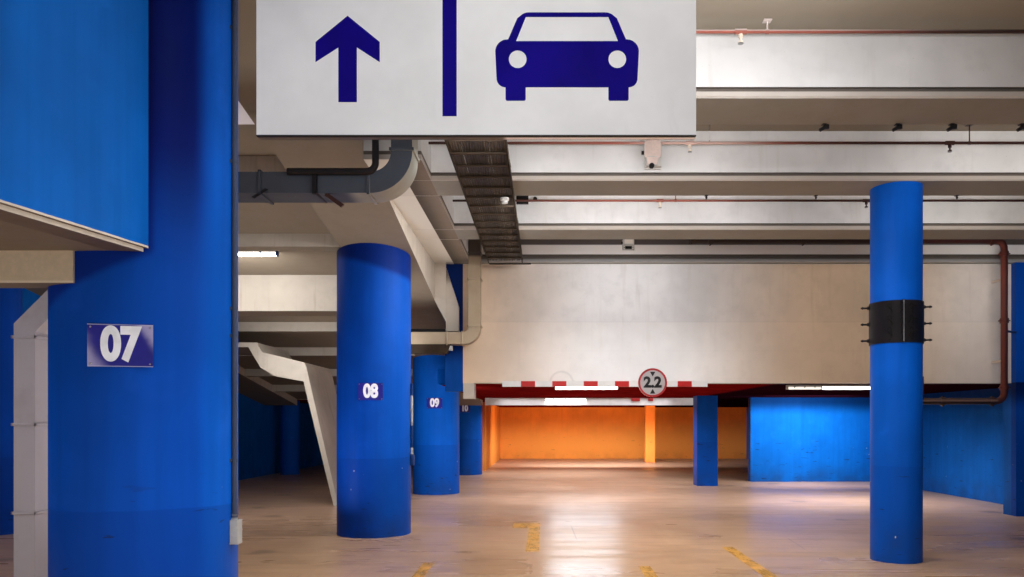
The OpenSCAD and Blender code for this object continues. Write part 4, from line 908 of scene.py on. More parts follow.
@maker
def sign_panel(colours):
    """Off-white enamel with faint dirt, dark spots low down and a greyed edge."""
    f = Finish("sign_panel", roughness=0.35)
    c = tuple(colours.panel)
    clouds = f.noise(2.3, 4, 0.6)
    colour = f.shade(c, f.ease(clouds, 0.3, 0.7), 0.94, 1.05)
    stain = f.noise(1.0, 5, 0.6, (14.0, 14.0, 3.2), (3, 0, 1))
    above = f.z - low("direction_sign").z
    low_band = f.fade(above, 0.02, 0.30)
    colour = f.mix(f.ease(stain, 0.58, 0.72) * low_band * 0.10, colour, dim(c, 0.55))
    spots = f.fade(f.cells(9.0, shift=(0.2, 0, 0.6)), 0.05, 0.09) * f.ease(f.noise(4.0), 0.52, 0.6)
    colour = f.mix(spots * 0.16, colour, dim(c, 0.5))
    edge = f.fade(above, 0.0, 0.006)
    colour = f.mix(edge * 0.6, colour, (0.10, 0.08, 0.07))
    # Painted light and shade on the sign's underside: pale to the right, dark at its left end and along its
    # front.
    under = f.underside()
    behind = f.ease(f.y, low("direction_sign").y + 0.019, low("direction_sign").y + 0.021)
    rear = f.mix(f.ease(f.across, -1.06, -1.03), (0.10, 0.085, 0.07), (0.97, 0.92, 0.93))
    colour = f.mix(under, colour, f.mix(behind, (0.012, 0.010, 0.010), rear))
    along = f.x - low("height_bar").x
    period = BAR_RED + BAR_WHITE
    stripe = ((along - BAR_START) % period) < BAR_RED
    stripe = stripe * (along > BAR_START)
    on_bar = f.band(f.y, low("height_bar").y - 0.002, high("height_bar").y + 0.01, 0.002)
    on_bar = on_bar * f.fade(f.z, high("height_bar").z + 0.01, high("height_bar").z + 0.02)
    red = f.shade((0.42, 0.014, 0.012), f.noise(9.0, 4), 0.75, 1.2)
    colour = f.mix(on_bar * 0.8, colour, f.shade((0.72, 0.70, 0.67), f.noise(6.0, 4), 0.85, 1.1))
    colour = f.mix(on_bar * stripe, colour, red)
    roughness = 0.32 + f.ease(stain, 0.5, 0.7) * 0.18
    return f.done(colour, roughness, f.noise(7.0, 2), 0.05, 0.004)


@maker
def plate_navy(colours):
    """Navy plates; the first fades to pale violet at two corners."""
    f = Finish("plate_navy", roughness=0.3)
    c = (0.014, 0.012, 0.20)
    shares = []
    for y, turn in zip(LEFT_YS, PLATE_TURNS):
        reach = LEFT_RADIUS
        centre = Vector((LEFT_ROW + reach * sin(turn), y - reach * cos(turn), 0))
        mine = f.fade(abs(f.y - centre.y), 0.4, 0.5)
        shares.append(((f.x - centre.x) / (PLATE_W / 2 * cos(turn)), mine))
    across = sum(value * mine for value, mine in shares)
    up = (f.z - middle("number_plates").z) / 0.125
    spread = f.noise(6.0, 3, shift=(0, 0, 2)) * 0.5
    left_fade = f.ease(across * -1.0 + up * -0.35 + spread, 0.80, 1.50)
    right_fade = f.ease(across + up * 0.45 + spread, 0.95, 1.60)
    fade = f.ease(left_fade + right_fade, 0.0, 1.0) * shares[0][1]
    colour = f.mix(fade * 0.62, f.shade(c, f.noise(14.0, 4), 0.8, 1.25), (0.50, 0.46, 0.66))
    edge = f.ease(abs(up), 0.955, 0.965)
    colour = f.mix(edge * shares[0][1] * 0.6, colour, (0.45, 0.44, 0.60))
    return f.done(colour, 0.28 + fade * 0.2, f.noise(20.0, 3), 0.05, 0.002)


def batten_glow(f):
    """1 on the battens' diffusers, 0 on their housings and on the bulkhead lamps."""
    ramp_z = high("batten_lights").z
    hall = f.band(f.z, MID_Z - 0.15, MID_Z - 0.040, 0.004)
    ramp = f.band(f.z, ramp_z - 0.15, ramp_z - 0.040, 0.004)
    in_hall = f.ease(f.y, END_WALL_Y, END_WALL_Y + 0.1)
    short = f.band(f.x, RIGHT_ROW + 0.28, RIGHT_ROW + 0.94, 0.003)
    level = in_hall * (1.0 - short * 0.93)
    return hall * level + ramp * (1.0 - in_hall)


@maker
def lamp_cover(colours):
    """Opal lamp covers that glow at the diffuser; housings stay unlit."""
    f = Finish("lamp_cover", roughness=0.35, emission=1.0)
    housing = f.shade((0.62, 0.61, 0.58), f.noise(6.0, 4), 0.8, 1.1)
    lit = batten_glow(f)
    colour = f.mix(lit, housing, (0.85, 0.84, 0.80))
    glow = f.mix(lit, (0.0, 0.0, 0.0), (1.0, 0.95, 0.86))
    f.shader.inputs["Emission Strength"].default_value = LAMP_GLOW
    return f.set(Base_Color=colour, Roughness=0.35 + f.noise(9.0, 3) * 0.1,
                 Emission_Color=glow).bump(f.noise(60.0, 2), 0.05, 0.001)


def painted_over_and_shaded(f, colour):
    """The first column's conduit is painted dark above its pale box; the second's has painted shade, dark
    blue outside two pale stretches.
    """
    first = f.band(f.y, LEFT_YS[0] - 0.3, LEFT_YS[0] + 0.3, 0.01) * f.fade(f.x, LANE_X, LANE_X + 0.2)
    tall = f.ease(f.up, 1.06, 1.08)
    colour = f.mix(first * tall * 0.9, colour, (0.010, 0.022, 0.06))
    # Painted shade: the second column's conduit is dark blue except two pale stretches.
    second = f.band(f.y, LEFT_YS[1] - 0.3, LEFT_YS[1] + 0.3, 0.01) * f.fade(f.across, -2.0, -1.9)
    pale = f.band(f.up, 1.66, 2.11, 0.01) + f.band(f.up, 1.22, 1.31, 0.01)
    return f.mix(second * (1.0 - f.ease(pale, 0.0, 1.0)), colour, (0.002, 0.028, 0.13))


@maker
def grey_conduit(colours):
    return metal_paint("grey_conduit", (0.36, 0.355, 0.34), 0.1, gloss=0.5, tint=painted_over_and_shaded)


def printed(name, c, scale, dark, light, roughness, specular=0.5, grain=9.0):
    """Printed or sprayed film, slightly uneven."""
    f = Finish(name, specular=specular)
    colour = f.shade(c, f.ease(f.noise(scale, 5), 0.3, 0.7), dark, light)
    return f.done(colour, roughness + f.noise(grain, 3) * 0.1, f.noise(50.0, 2), 0.04, 0.001)


@maker
def symbol_navy(colours):
    return printed("symbol_navy", tuple(colours.navy), 4.0, 0.85, 1.2, 0.5, 0.1, 8.0)


@maker
def number_white(colours):
    return printed("number_white", (0.80, 0.80, 0.84), 12.0, 0.86, 1.05, 0.38)


@maker
def sign_red(colours):
    return printed("sign_red", (0.33, 0.012, 0.014), 9.0, 0.75, 1.2, 0.36)


@maker
def floor_mark(colours):
    """Worn orange floor paint, rubbed through to the floor in patches."""
    f = Finish("floor_mark", roughness=0.4)
    c = tuple(colours.mark)
    colour = f.shade(c, f.ease(f.noise(5.0, 5), 0.3, 0.7), 0.72, 1.15)
    worn = f.noise(6.5, 6, 0.7, (1.0, 0.45, 1.0))
    scratch = f.noise(30.0, 4, 0.7, (1.0, 0.12, 1.0))
    alpha = f.ease(worn + (scratch - 0.5) * 0.3, 0.42, 0.74, 0.92, 0.0)
    return f.set(Base_Color=colour, Roughness=0.3 + worn * 0.2, Alpha=alpha).bump(worn, 0.1, 0.002)


@maker
def lit_glass(colours):
    """Cool glass of the bulkhead lamps, with a faint glow."""
    f = Finish("lit_glass", roughness=0.25, emission=0.5)
    ribs = near(f.z % 0.02, 0.01, 0.006)
    colour = f.mix(ribs * 0.4, (0.66, 0.60, 0.54), (0.40, 0.36, 0.32))
    return f.set(Base_Color=colour, Roughness=0.25 + ribs * 0.1,
                 Emission_Color=(0.30, 0.27, 0.22)).bump(ribs, 0.3, 0.003)


@maker
def dark_rubber(colours):
    return metal_paint("dark_rubber", (0.005, 0.005, 0.005), 0.0, (0.016, 0.014, 0.013), gloss=0.6)


def round_points(radius, sides):
    """Points on a circle about the origin, from the first axis towards the second."""
    return [(radius * cos(2 * pi * i / sides), radius * sin(2 * pi * i / sides)) for i in range(sides)]


class Shape:
    """A mesh under construction, in the frame's own metres."""

    def __init__(self):
        self.bm = bmesh.new()

    def place(self, verts, matrix):
        bmesh.ops.transform(self.bm, matrix=matrix, verts=verts)
        return self

    def block(self, a, b, bevel=0.0, turn=None):
        """A box between two corners with rounded edges, turned about its middle if asked."""
        a, b = Vector(a), Vector(b)
        size = Vector(abs(v) for v in (b - a))
        made = bmesh.ops.create_cube(self.bm, size=1.0)["verts"]
        bmesh.ops.scale(self.bm, vec=size, verts=made)
        if bevel > 0:
            edges = {e for v in made for e in v.link_edges}
            made = bmesh.ops.bevel(self.bm, geom=list(edges), offset=min(bevel, min(size) * 0.45),
                                   segments=2, profile=0.5, affect="EDGES")["verts"]
        matrix = Matrix.Translation((a + b) / 2)
        if turn is not None:
            matrix = matrix @ turn
        return self.place(made, matrix)

    def spin(self, x, y, angle):
        """Turns all that is built so far about an upright axis."""
        bmesh.ops.rotate(self.bm, verts=self.bm.verts, cent=(x, y, 0), matrix=Matrix.Rotation(angle, 3, "Z"))
        return self

    def prism(self, corners, axis, start, end):
        """A solid from a flat outline, run along one axis; corners hold the other two."""
        rings = []
        for place in (start, end):
            points = []
            for pair in corners:
                point = list(pair)
                point.insert(axis, place)
                points.append(self.bm.verts.new(point))
            rings.append(points)
        self.bm.faces.new(rings[0])
        self.bm.faces.new(rings[1][::-1])
        count = len(corners)
        for i in range(count):
            j = (i + 1) % count
            self.bm.faces.new((rings[0][j], rings[0][i], rings[1][i], rings[1][j]))
        return self

    def rod(self, a, b, radius, sides=16, end_radius=None, bevel=0.0):
        """A round bar or cone between two points."""
        a, b = Vector(a), Vector(b)
        axis = b - a
        made = bmesh.ops.create_cone(self.bm, cap_ends=True, segments=sides, radius1=radius,
                                     radius2=radius if end_radius is None else end_radius,
                                     depth=axis.length)["verts"]
        if bevel > 0:
            rims = {e for v in made for e in v.link_edges if len({round(w.co.z, 6) for w in e.verts}) == 1}
            made = list(set(made) | set(bmesh.ops.bevel(
                self.bm, geom=list(rims), offset=bevel, segments=2, profile=0.5, affect="EDGES")["verts"]))
            made = [v for v in made if v.is_valid]
        turn = axis.to_track_quat("Z", "Y").to_matrix().to_4x4()
        return self.place(made, Matrix.Translation((a + b) / 2) @ turn)

    def lathe(self, profile, origin, axis=(0, 0, 1), sides=24):
        """A solid of revolution: profile holds (radius, height) along the axis."""
        turn = Vector(axis).to_track_quat("Z", "Y").to_matrix().to_4x4()
        matrix = Matrix.Translation(Vector(origin)) @ turn
        rings = []
        for radius, height in profile:
            if radius < 1e-6:
                rings.append([self.bm.verts.new(matrix @ Vector((0, 0, height)))])
                continue
            rings.append([self.bm.verts.new(matrix @ Vector((u, v, height)))
                          for u, v in round_points(radius, sides)])
        for first, second in zip(rings, rings[1:]):
            for i in range(sides):
                j = (i + 1) % sides
                corners = [first[i % len(first)], first[j % len(first)],
                           second[j % len(second)], second[i % len(second)]]
                unique = list(dict.fromkeys(corners))
                if len(unique) > 2:
                    self.bm.faces.new(unique)
        for ring, flip in ((rings[0], True), (rings[-1], False)):
            if len(ring) > 2:
                self.bm.faces.new(ring[::-1] if flip else ring)
        return self

    def tube(self, points, radius, sides=10, closed=False):
        """A round tube along points."""
        points = [Vector(p) for p in points]
        rings = []
        count = len(points)
        up = Vector((0, 0, 1))
        for i, point in enumerate(points):
            ahead = points[(i + 1) % count] if closed or i + 1 < count else point
            behind = points[i - 1] if closed or i > 0 else point
            along = (ahead - behind).normalized()
            side = along.cross(up)
            if side.length < 0.1:
                side = along.cross(Vector((0, 1, 0)))
            side.normalize()
            over = side.cross(along)
            rings.append([self.bm.verts.new(point + side * u + over * v)
                          for u, v in round_points(radius, sides)])
        pairs = list(zip(rings, rings[1:])) + ([(rings[-1], rings[0])] if closed else [])
        for first, second in pairs:
            for j in range(sides):
                k = (j + 1) % sides
                self.bm.faces.new((first[j], first[k], second[k], second[j]))
        if not closed:
            self.bm.faces.new(rings[0][::-1])
            self.bm.faces.new(rings[-1])
        return self

    def plate(self, outlines, matrix, thickness):
        """A flat plate from closed outlines in its own X and Y; inner ones become holes."""
        curve = bpy.data.curves.new("outline", "CURVE")
        curve.dimensions = "2D"
        curve.fill_mode = "BOTH"
        curve.extrude = thickness / 2
        for outline in outlines:
            spline = curve.splines.new("POLY")
            spline.points.add(len(outline) - 1)
            for point, (x, y) in zip(spline.points, outline):
                point.co = (x, y, 0, 1)
            spline.use_cyclic_u = True
        return self.take(curve, matrix)

    def take(self, curve, matrix):
        """Adds the mesh of a curve or a text and drops its data."""
        holder = bpy.data.objects.new("holder", curve)
        mesh = bpy.data.meshes.new_from_object(holder)
        mesh.transform(matrix)
        self.bm.from_mesh(mesh)
        bpy.data.objects.remove(holder)
        bpy.data.meshes.remove(mesh)
        return self

    def number(self, digits, height, matrix, thickness, bold=0.0):
        """Plain numbers, centred, as flat raised characters."""
        text = bpy.data.curves.new("digits", "FONT")
        text.body = digits
        text.size = height / 0.69
        text.align_x = "CENTER"
        text.align_y = "CENTER"
        text.extrude = thickness / 2
        text.offset = bold
        return self.take(text, matrix)

    def piece(self, name, material, slot=None, angle=35.0):
        """Closes the mesh into an object that rides on the hall."""
        if slot is None:
            slot = material
        bmesh.ops.remove_doubles(self.bm, verts=self.bm.verts, dist=1e-5)
        bmesh.ops.recalc_face_normals(self.bm, faces=self.bm.faces)
        mesh = bpy.data.meshes.new(name)
        self.bm.to_mesh(mesh)
        self.bm.free()
        mesh.materials.append(finish(material))
        for polygon in mesh.polygons:
            polygon.use_smooth = True
        mesh.set_sharp_from_angle(angle=radians(angle))
        piece = placed(name, mesh)
        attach(piece, BODY)
        return piece


def arc(centre, radius, start, end, steps=8):
    """Points on an arc, in degrees."""
    return [(centre[0] + radius * cos(radians(start + (end - start) * i / steps)),
             centre[1] + radius * sin(radians(start + (end - start) * i / steps)))
            for i in range(steps + 1)]


def circle(centre, radius, steps=40):
    return arc(centre, radius, 0, 360 * (steps - 1) / steps, steps - 1)


def facing_front(x, y, z):
    """A matrix that lays a flat plate upright, facing the open front."""
    return Matrix.Translation((x, y, z)) @ Matrix.Rotation(radians(90), 4, "X")


def hexagon(shape, centre, axis, across, thickness):
    """A hexagon nut or bolt head with its axis."""
    centre, axis = Vector(centre), Vector(axis).normalized()
    shape.rod(centre, centre + axis * thickness, across / 2, 6, bevel=thickness * 0.12)


class HallOperator:
    """What the dressing's operators share."""

    bl_options = {"REGISTER", "UNDO"}

    def execute(self, context):
        self.dress(context.scene.hall_sizes)
        return {"FINISHED"}


class HALL_OT_finishes(HallOperator, bpy.types.Operator):
    """Gives every part of the building its finish"""

    bl_idname = "hall.finishes"
    bl_label = "Building finishes"

    def dress(self, sizes):
        for node in NODES.values():
            slot = node.material_slots[0].material.name.split(".")[0]
            node.material_slots[0].material = finish(slot)


class HALL_OT_sign_symbols(HallOperator, bpy.types.Operator):
    """Puts the arrow, the bar and the front view of a car on the hanging sign"""

    bl_idname = "hall.sign_symbols"
    bl_label = "Sign symbols"

    def dress(self, sizes):
        t = sizes.symbol_proud
        corner = low("direction_sign")
        face = facing_front(corner.x, corner.y - t / 2, corner.z)
        sign_h = high("direction_sign").z - corner.z

        arrow_x, stem, reach = 0.415, 0.042, 0.146
        arrow = [(arrow_x, 0.545), (arrow_x + reach, 0.426), (arrow_x + reach, 0.334),
                 (arrow_x + stem, 0.401), (arrow_x + stem, 0.152), (arrow_x - stem, 0.152),
                 (arrow_x - stem, 0.401), (arrow_x - reach, 0.334), (arrow_x - reach, 0.426)]
        Shape().plate([arrow], face, t).piece("sign_arrow", "symbol_navy", "plate_navy")

        bar = [(0.8465, 0.088), (0.911, 0.088), (0.911, sign_h), (0.8465, sign_h)]
        Shape().plate([bar], face, t).piece("sign_bar", "symbol_navy", "plate_navy")

        car_x = 1.4130
        half = ([(0.188, 0.2197), (0.188, 0.1663)] + arc((0.196, 0.1663), 0.008, 180, 270, 3)
                + arc((0.272, 0.1663), 0.008, 270, 360, 3) + [(0.280, 0.2197)]
                + arc((0.2807, 0.2597), 0.040, -85, -10, 5) + [(0.3267, 0.385)]
                + arc((0.2717, 0.3827), 0.055, 10, 75, 6) + [(0.2680, 0.4376), (0.2266, 0.5336)]
                + arc((0.1745, 0.5052), 0.055, 45, 90, 5))
        outline = [(car_x + x, y) for x, y in half] + [(car_x - x, y) for x, y in reversed(half)]
        glass = [(car_x - 0.2315, 0.4299), (car_x + 0.2315, 0.4299), (car_x + 0.1874, 0.5393),
                 (car_x - 0.1874, 0.5393)]
        eyes = [circle((car_x + side * 0.2265 + 0.002, 0.3473), 0.0402) for side in (-1, 1)]
        Shape().plate([outline, glass, *eyes], face, t).piece("sign_car", "symbol_navy", "plate_navy")


class HALL_OT_sign_frame(HallOperator, bpy.types.Operator):
    """Adds the hanging sign's edge trim, its rod plates and nuts"""

    bl_idname = "hall.sign_frame"
    bl_label = "Sign frame and fixings"

    def dress(self, sizes):
        corner, far = low("direction_sign"), high("direction_sign")
        trim = Shape()
        lip = 0.004
        trim.block((corner.x, corner.y - lip, corner.z - 0.002),
                   (far.x, corner.y + 0.018, corner.z + 0.002), 0.0005)
        trim.block((corner.x, far.y - 0.01, corner.z), (far.x, far.y + lip, corner.z + 0.03), 0.001)
        trim.piece("sign_trim", "dark_rubber", "plain_steel")
        fixings = Shape()
        rods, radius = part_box("sign_rods"), (high("sign_rods").y - low("sign_rods").y) / 2
        y = middle("sign_rods").y
        for x in (rods[0].x + radius, rods[1].x - radius):
            fixings.block((x - 0.05, y - 0.02, far.z), (x + 0.05, y + 0.02, far.z + 0.006), 0.001)
            for z in (far.z + 0.006, far.z + 0.10):
                hexagon(fixings, (x, y, z), (0, 0, 1), sizes.nut_d, 0.014)
            fixings.block((x - 0.06, y - 0.06, SOFFIT_Z - 0.008), (x + 0.06, y + 0.06, SOFFIT_Z), 0.001)
            hexagon(fixings, (x, y, SOFFIT_Z - 0.022), (0, 0, 1), sizes.nut_d, 0.014)
        fixings.piece("sign_fixings", "plain_steel")


class HALL_OT_plate_numbers(HallOperator, bpy.types.Operator):
    """Puts plain numbers and corner screws on the column plates"""

    bl_idname = "hall.plate_numbers"
    bl_label = "Plate numbers"

    def dress(self, sizes):
        z = middle("number_plates").z
        plate_t = 0.0063
        half_w = PLATE_W / 2 - 0.016
        half_h = (high("number_plates").z - low("number_plates").z) / 2 - 0.017
        narrow = Matrix.Scale(0.78, 4, (1, 0, 0))
        for count, (y, turn) in enumerate(zip(LEFT_YS, PLATE_TURNS)):
            spin = Matrix.Translation((LEFT_ROW, y, z)) @ Matrix.Rotation(turn, 4, "Z")
            face = spin @ facing_front(0, -LEFT_RADIUS - plate_t - 0.0006, 0)
            digits = Shape().number(f"{count + 7:02d}", sizes.number_h, face @ narrow, 0.001, 0.013)
            digits.piece(f"plate_number_{count + 7:02d}", "number_white", "plate_navy")
            screws = Shape()
            for x in (-half_w, half_w):
                for up in (-half_h, half_h):
                    at = spin @ Vector((x, -LEFT_RADIUS - plate_t, up))
                    out = (spin.to_3x3() @ Vector((0, -1, 0))).normalized()
                    screws.lathe([(sizes.screw_d / 2, 0), (sizes.screw_d / 2, 0.001),
                                  (sizes.screw_d / 3, 0.003), (0, 0.0036)], at, out, 12)
            screws.piece(f"plate_screws_{count + 7:02d}", "plain_steel")


class HALL_OT_height_limit(HallOperator, bpy.types.Operator):
    """Adds the round height sign's ring, arrows and number, and the bar's brackets"""

    bl_idname = "hall.height_limit"
    bl_label = "Height limit"

    def dress(self, sizes):
        disc = middle("height_sign")
        radius = (high("height_sign").x - low("height_sign").x) / 2
        y = low("height_sign").y
        ring = [circle((0, 0), radius, 64), circle((0, 0), radius * 0.86, 64)]
        Shape().plate(ring, facing_front(disc.x, y - 0.001, disc.z), 0.002).piece(
            "height_ring", "sign_red", "sign_panel")
        inner = radius * 0.86
        marks = Shape()
        tip, back, wide = inner * 0.50, inner * 0.88, inner * 0.22
        for side in (-1, 1):
            arrow = [(0, side * tip), (-wide, side * back), (wide, side * back)]
            marks.plate([arrow], facing_front(disc.x, y - 0.001, disc.z), 0.002)
        marks.number("2.2", radius * 0.70, facing_front(disc.x, y - 0.001, disc.z), 0.002, 0.012)
        marks.piece("height_marks", "black_steel", "sign_panel")
        brackets = Shape()
        bar_low, bar_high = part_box("height_bar")
        for share in (0.06, 0.35, 0.64, 0.93):
            x = bar_low.x + share * (bar_high.x - bar_low.x)
            brackets.block((x - 0.02, bar_low.y - 0.004, bar_high.z),
                           (x + 0.02, END_WALL_Y, bar_high.z + 0.004), 0.001)
        brackets.piece("bar_brackets", "plain_steel")
        boxes = Shape()
        face_y = FRONT_Y + DEEP_BEAM_FRONT
        for x, half in ((1.79, 0.13), (2.234, 0.07)):
            boxes.block((LANE_X + x - half, face_y - 0.06, FLOOR_Z + 2.33),
                        (LANE_X + x + half, face_y, FLOOR_Z + 2.42), 0.006)
        boxes.piece("beam_boxes", "sign_red", "sign_panel")


def duct_flange(shape, corners, axis, place, sizes):
    """A flanged joint round a rectangular duct, across one axis."""
    low_corner, high_corner = corners
    a = [v - sizes.flange_t for v in low_corner]
    b = [v + sizes.flange_t for v in high_corner]
    a[axis], b[axis] = place - sizes.flange_w / 2, place + sizes.flange_w / 2
    for i in (0, 1, 2):
        if i == axis:
            continue
        near_end, far_end = list(b), list(a)
        near_end[i] = low_corner[i] + 0.001
        far_end[i] = high_corner[i] - 0.001
        shape.block(a, near_end, 0.003)
        shape.block(far_end, b, 0.003)


def main_duct_joints(sizes):
    """Flanged joints along the main duct and up its end."""
    duct_low, duct_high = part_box("main_duct")
    joints = Shape()
    level = ((0, duct_low.y, duct_low.z), (0, duct_high.y, DUCT_RUN_TOP))
    x = duct_low.x + 1.1
    while x < DUCT_BEND_X - 0.25:
        duct_flange(joints, level, 0, x, sizes)
        x += 1.25
    duct_flange(joints, level, 0, DUCT_BEND_X - 0.02, sizes)
    upright = ((duct_high.x - DUCT_T, duct_low.y, 0), (duct_high.x, duct_high.y, 0))
    duct_flange(joints, upright, 2, DUCT_RUN_TOP + 0.23, sizes)
    duct_flange(joints, upright, 2, SOFFIT_Z - 0.12, sizes)
    joints.piece("duct_joints", "grey_duct")


def main_duct_straps(sizes):
    """Straps round the main duct, most of them hung from the deck on two rods."""
    duct_low, duct_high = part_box("main_duct")
    straps = Shape()
    for back in (0.55, 2.3, 4.1, 5.9):
        x = DUCT_BEND_X - back
        a = Vector((x - sizes.strap_w / 2, duct_low.y - sizes.strap_t, duct_low.z - sizes.strap_t))
        b = Vector((x + sizes.strap_w / 2, duct_high.y + sizes.strap_t, DUCT_RUN_TOP + sizes.strap_t))
        straps.block(a, (b.x, b.y, duct_low.z), 0.001)
        straps.block((a.x, a.y, duct_low.z), (b.x, duct_low.y, DUCT_RUN_TOP), 0.001)
        straps.block((a.x, duct_high.y, duct_low.z), (b.x, b.y, DUCT_RUN_TOP), 0.001)
        if back < 1.0:
            continue
        for y in (duct_low.y - 0.03, duct_high.y + 0.03):
            straps.rod((x, y, duct_low.z - 0.03), (x, y, SOFFIT_Z), sizes.hanger_d / 2, 8)
            hexagon(straps, (x, y, duct_low.z - 0.03), (0, 0, -1), sizes.nut_d * 0.8, 0.01)
        straps.block((x - 0.02, duct_low.y - 0.05, duct_low.z - 0.03),
                     (x + 0.02, duct_high.y + 0.05, duct_low.z - sizes.strap_t), 0.002)
    x0, x1 = duct_high.x - 1.63, duct_high.x - 1.46
    straps.prism([(x0, duct_low.z - 0.045), (x0 + 0.03, duct_low.z - 0.06), (x1, duct_low.z + 0.03),
                  (x1 - 0.03, duct_low.z + 0.045)], 1, duct_low.y - 0.012, duct_low.y - 0.002)
    straps.piece("duct_straps", "black_steel")


def main_duct_clamp():
    """The slanted clamp below the main duct's bend."""
    duct_low, duct_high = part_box("main_duct")
    clamp = Shape()
    x0, y, z0 = duct_high.x - 0.90, duct_low.y, duct_low.z - 0.13
    clamp.prism([(x0, z0 + 0.11), (x0 + 0.03, z0 + 0.14), (x0 + 0.20, z0 + 0.02),
                 (x0 + 0.17, z0 - 0.01)], 1, y + 0.02, y + 0.05)
    clamp.rod((x0 + 0.02, y + 0.035, z0 + 0.12), (x0 + 0.02, y + 0.035, duct_low.z), 0.012, 10)
    clamp.piece("duct_clamp", "red_pipe_paint")


def riser_joints(sizes):
    """Flanged joints up the riser at the front left."""
    riser_low, riser_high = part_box("left_riser")
    joints = Shape()
    corners = ((riser_low.x, riser_low.y, 0), (riser_low.x + DUCT_T, riser_high.y, 0))
    for z in (0.78, 1.68, 2.57):
        duct_flange(joints, corners, 2, FLOOR_Z + z, sizes)
    joints.piece("riser_joints", "grey_duct")


def wall_duct_joints(sizes):
    """Flanged joints on the level and the upright run of the wall duct."""
    wall_low, wall_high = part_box("wall_duct")
    joints = Shape()
    level = ((0, wall_low.y, wall_low.z), (0, wall_high.y, WALL_RUN_TOP))
    standing = ((wall_high.x - WALL_DUCT_T, wall_low.y, 0), (wall_high.x, wall_high.y, 0))
    for x in (WALL_BEND_X - 0.02, WALL_BEND_X - 0.29, wall_low.x + 0.05):
        duct_flange(joints, level, 0, x, sizes)
    for z in (WALL_RUN_TOP + WALL_DUCT_BEND + 0.02, RIB_Z - 0.35, RIB_Z + 0.12):
        duct_flange(joints, standing, 2, z, sizes)
    joints.piece("wall_duct_joints", "grey_duct")


def wall_duct_trough():
    """The trough under the wall duct's level run, its ends, and a dark strip on top that stands in for
    shadow.
    """
    y, z = low("wall_duct").y, low("wall_duct").z
    left, right = WALL_BEND_X - 1.02, WALL_BEND_X - 0.22
    trough = Shape()
    trough.prism([(left, z), (right, z), (right - 0.07, z - 0.165), (left + 0.07, z - 0.165)], 1,
                 y + 0.01, y + 0.16)
    trough.piece("wall_duct_trough", "brown_tray")
    ends = Shape()
    for x in (left + 0.01, right - 0.01):
        ends.block((x - 0.035, y + 0.02, z - 0.11), (x + 0.035, y + 0.12, z - 0.03), 0.006)
    ends.piece("trough_ends", "grey_conduit", "plain_steel")
    # A dark strip that stands in for the shadow between the ramp's underside and the duct.
    shadow_strip = Shape()
    shadow_strip.block((WALL_BEND_X - 0.95, y + 0.02, WALL_RUN_TOP),
                 (WALL_BEND_X - 0.32, y + 0.08, WALL_RUN_TOP + 0.06), 0.004)
    shadow_strip.piece("wall_duct_shadow_strip", "dark_rubber", "black_steel")


class HALL_OT_duct_fittings(HallOperator, bpy.types.Operator):
    """Adds flanged joints, straps, clamps and hangers to the ducts"""

    bl_idname = "hall.duct_fittings"
    bl_label = "Duct fittings"

    def dress(self, sizes):
        main_duct_joints(sizes)
        main_duct_straps(sizes)
        main_duct_clamp()
        riser_joints(sizes)
        wall_duct_joints(sizes)
        wall_duct_trough()


def pipe_coupling(shape, centre, axis, radius, sizes):
    """A grooved coupling with two bolted lugs."""
    centre, axis = Vector(centre), Vector(axis).normalized()
    half = sizes.coupling_w / 2
    shape.lathe([(radius, -half), (radius + 0.012, -half), (radius + 0.018, -half * 0.6),
                 (radius + 0.018, half * 0.6), (radius + 0.012, half), (radius, half)], centre, axis, 24)
    side = axis.cross(Vector((0, 1, 0)))
    if side.length < 0.1:
        side = Vector((1, 0, 0))
    side.normalize()
    for way in (-1, 1):
        lug = centre + side * way * (radius + 0.022)
        shape.rod(lug - Vector((0, 0.035, 0)), lug + Vector((0, 0.035, 0)), 0.012, 8)


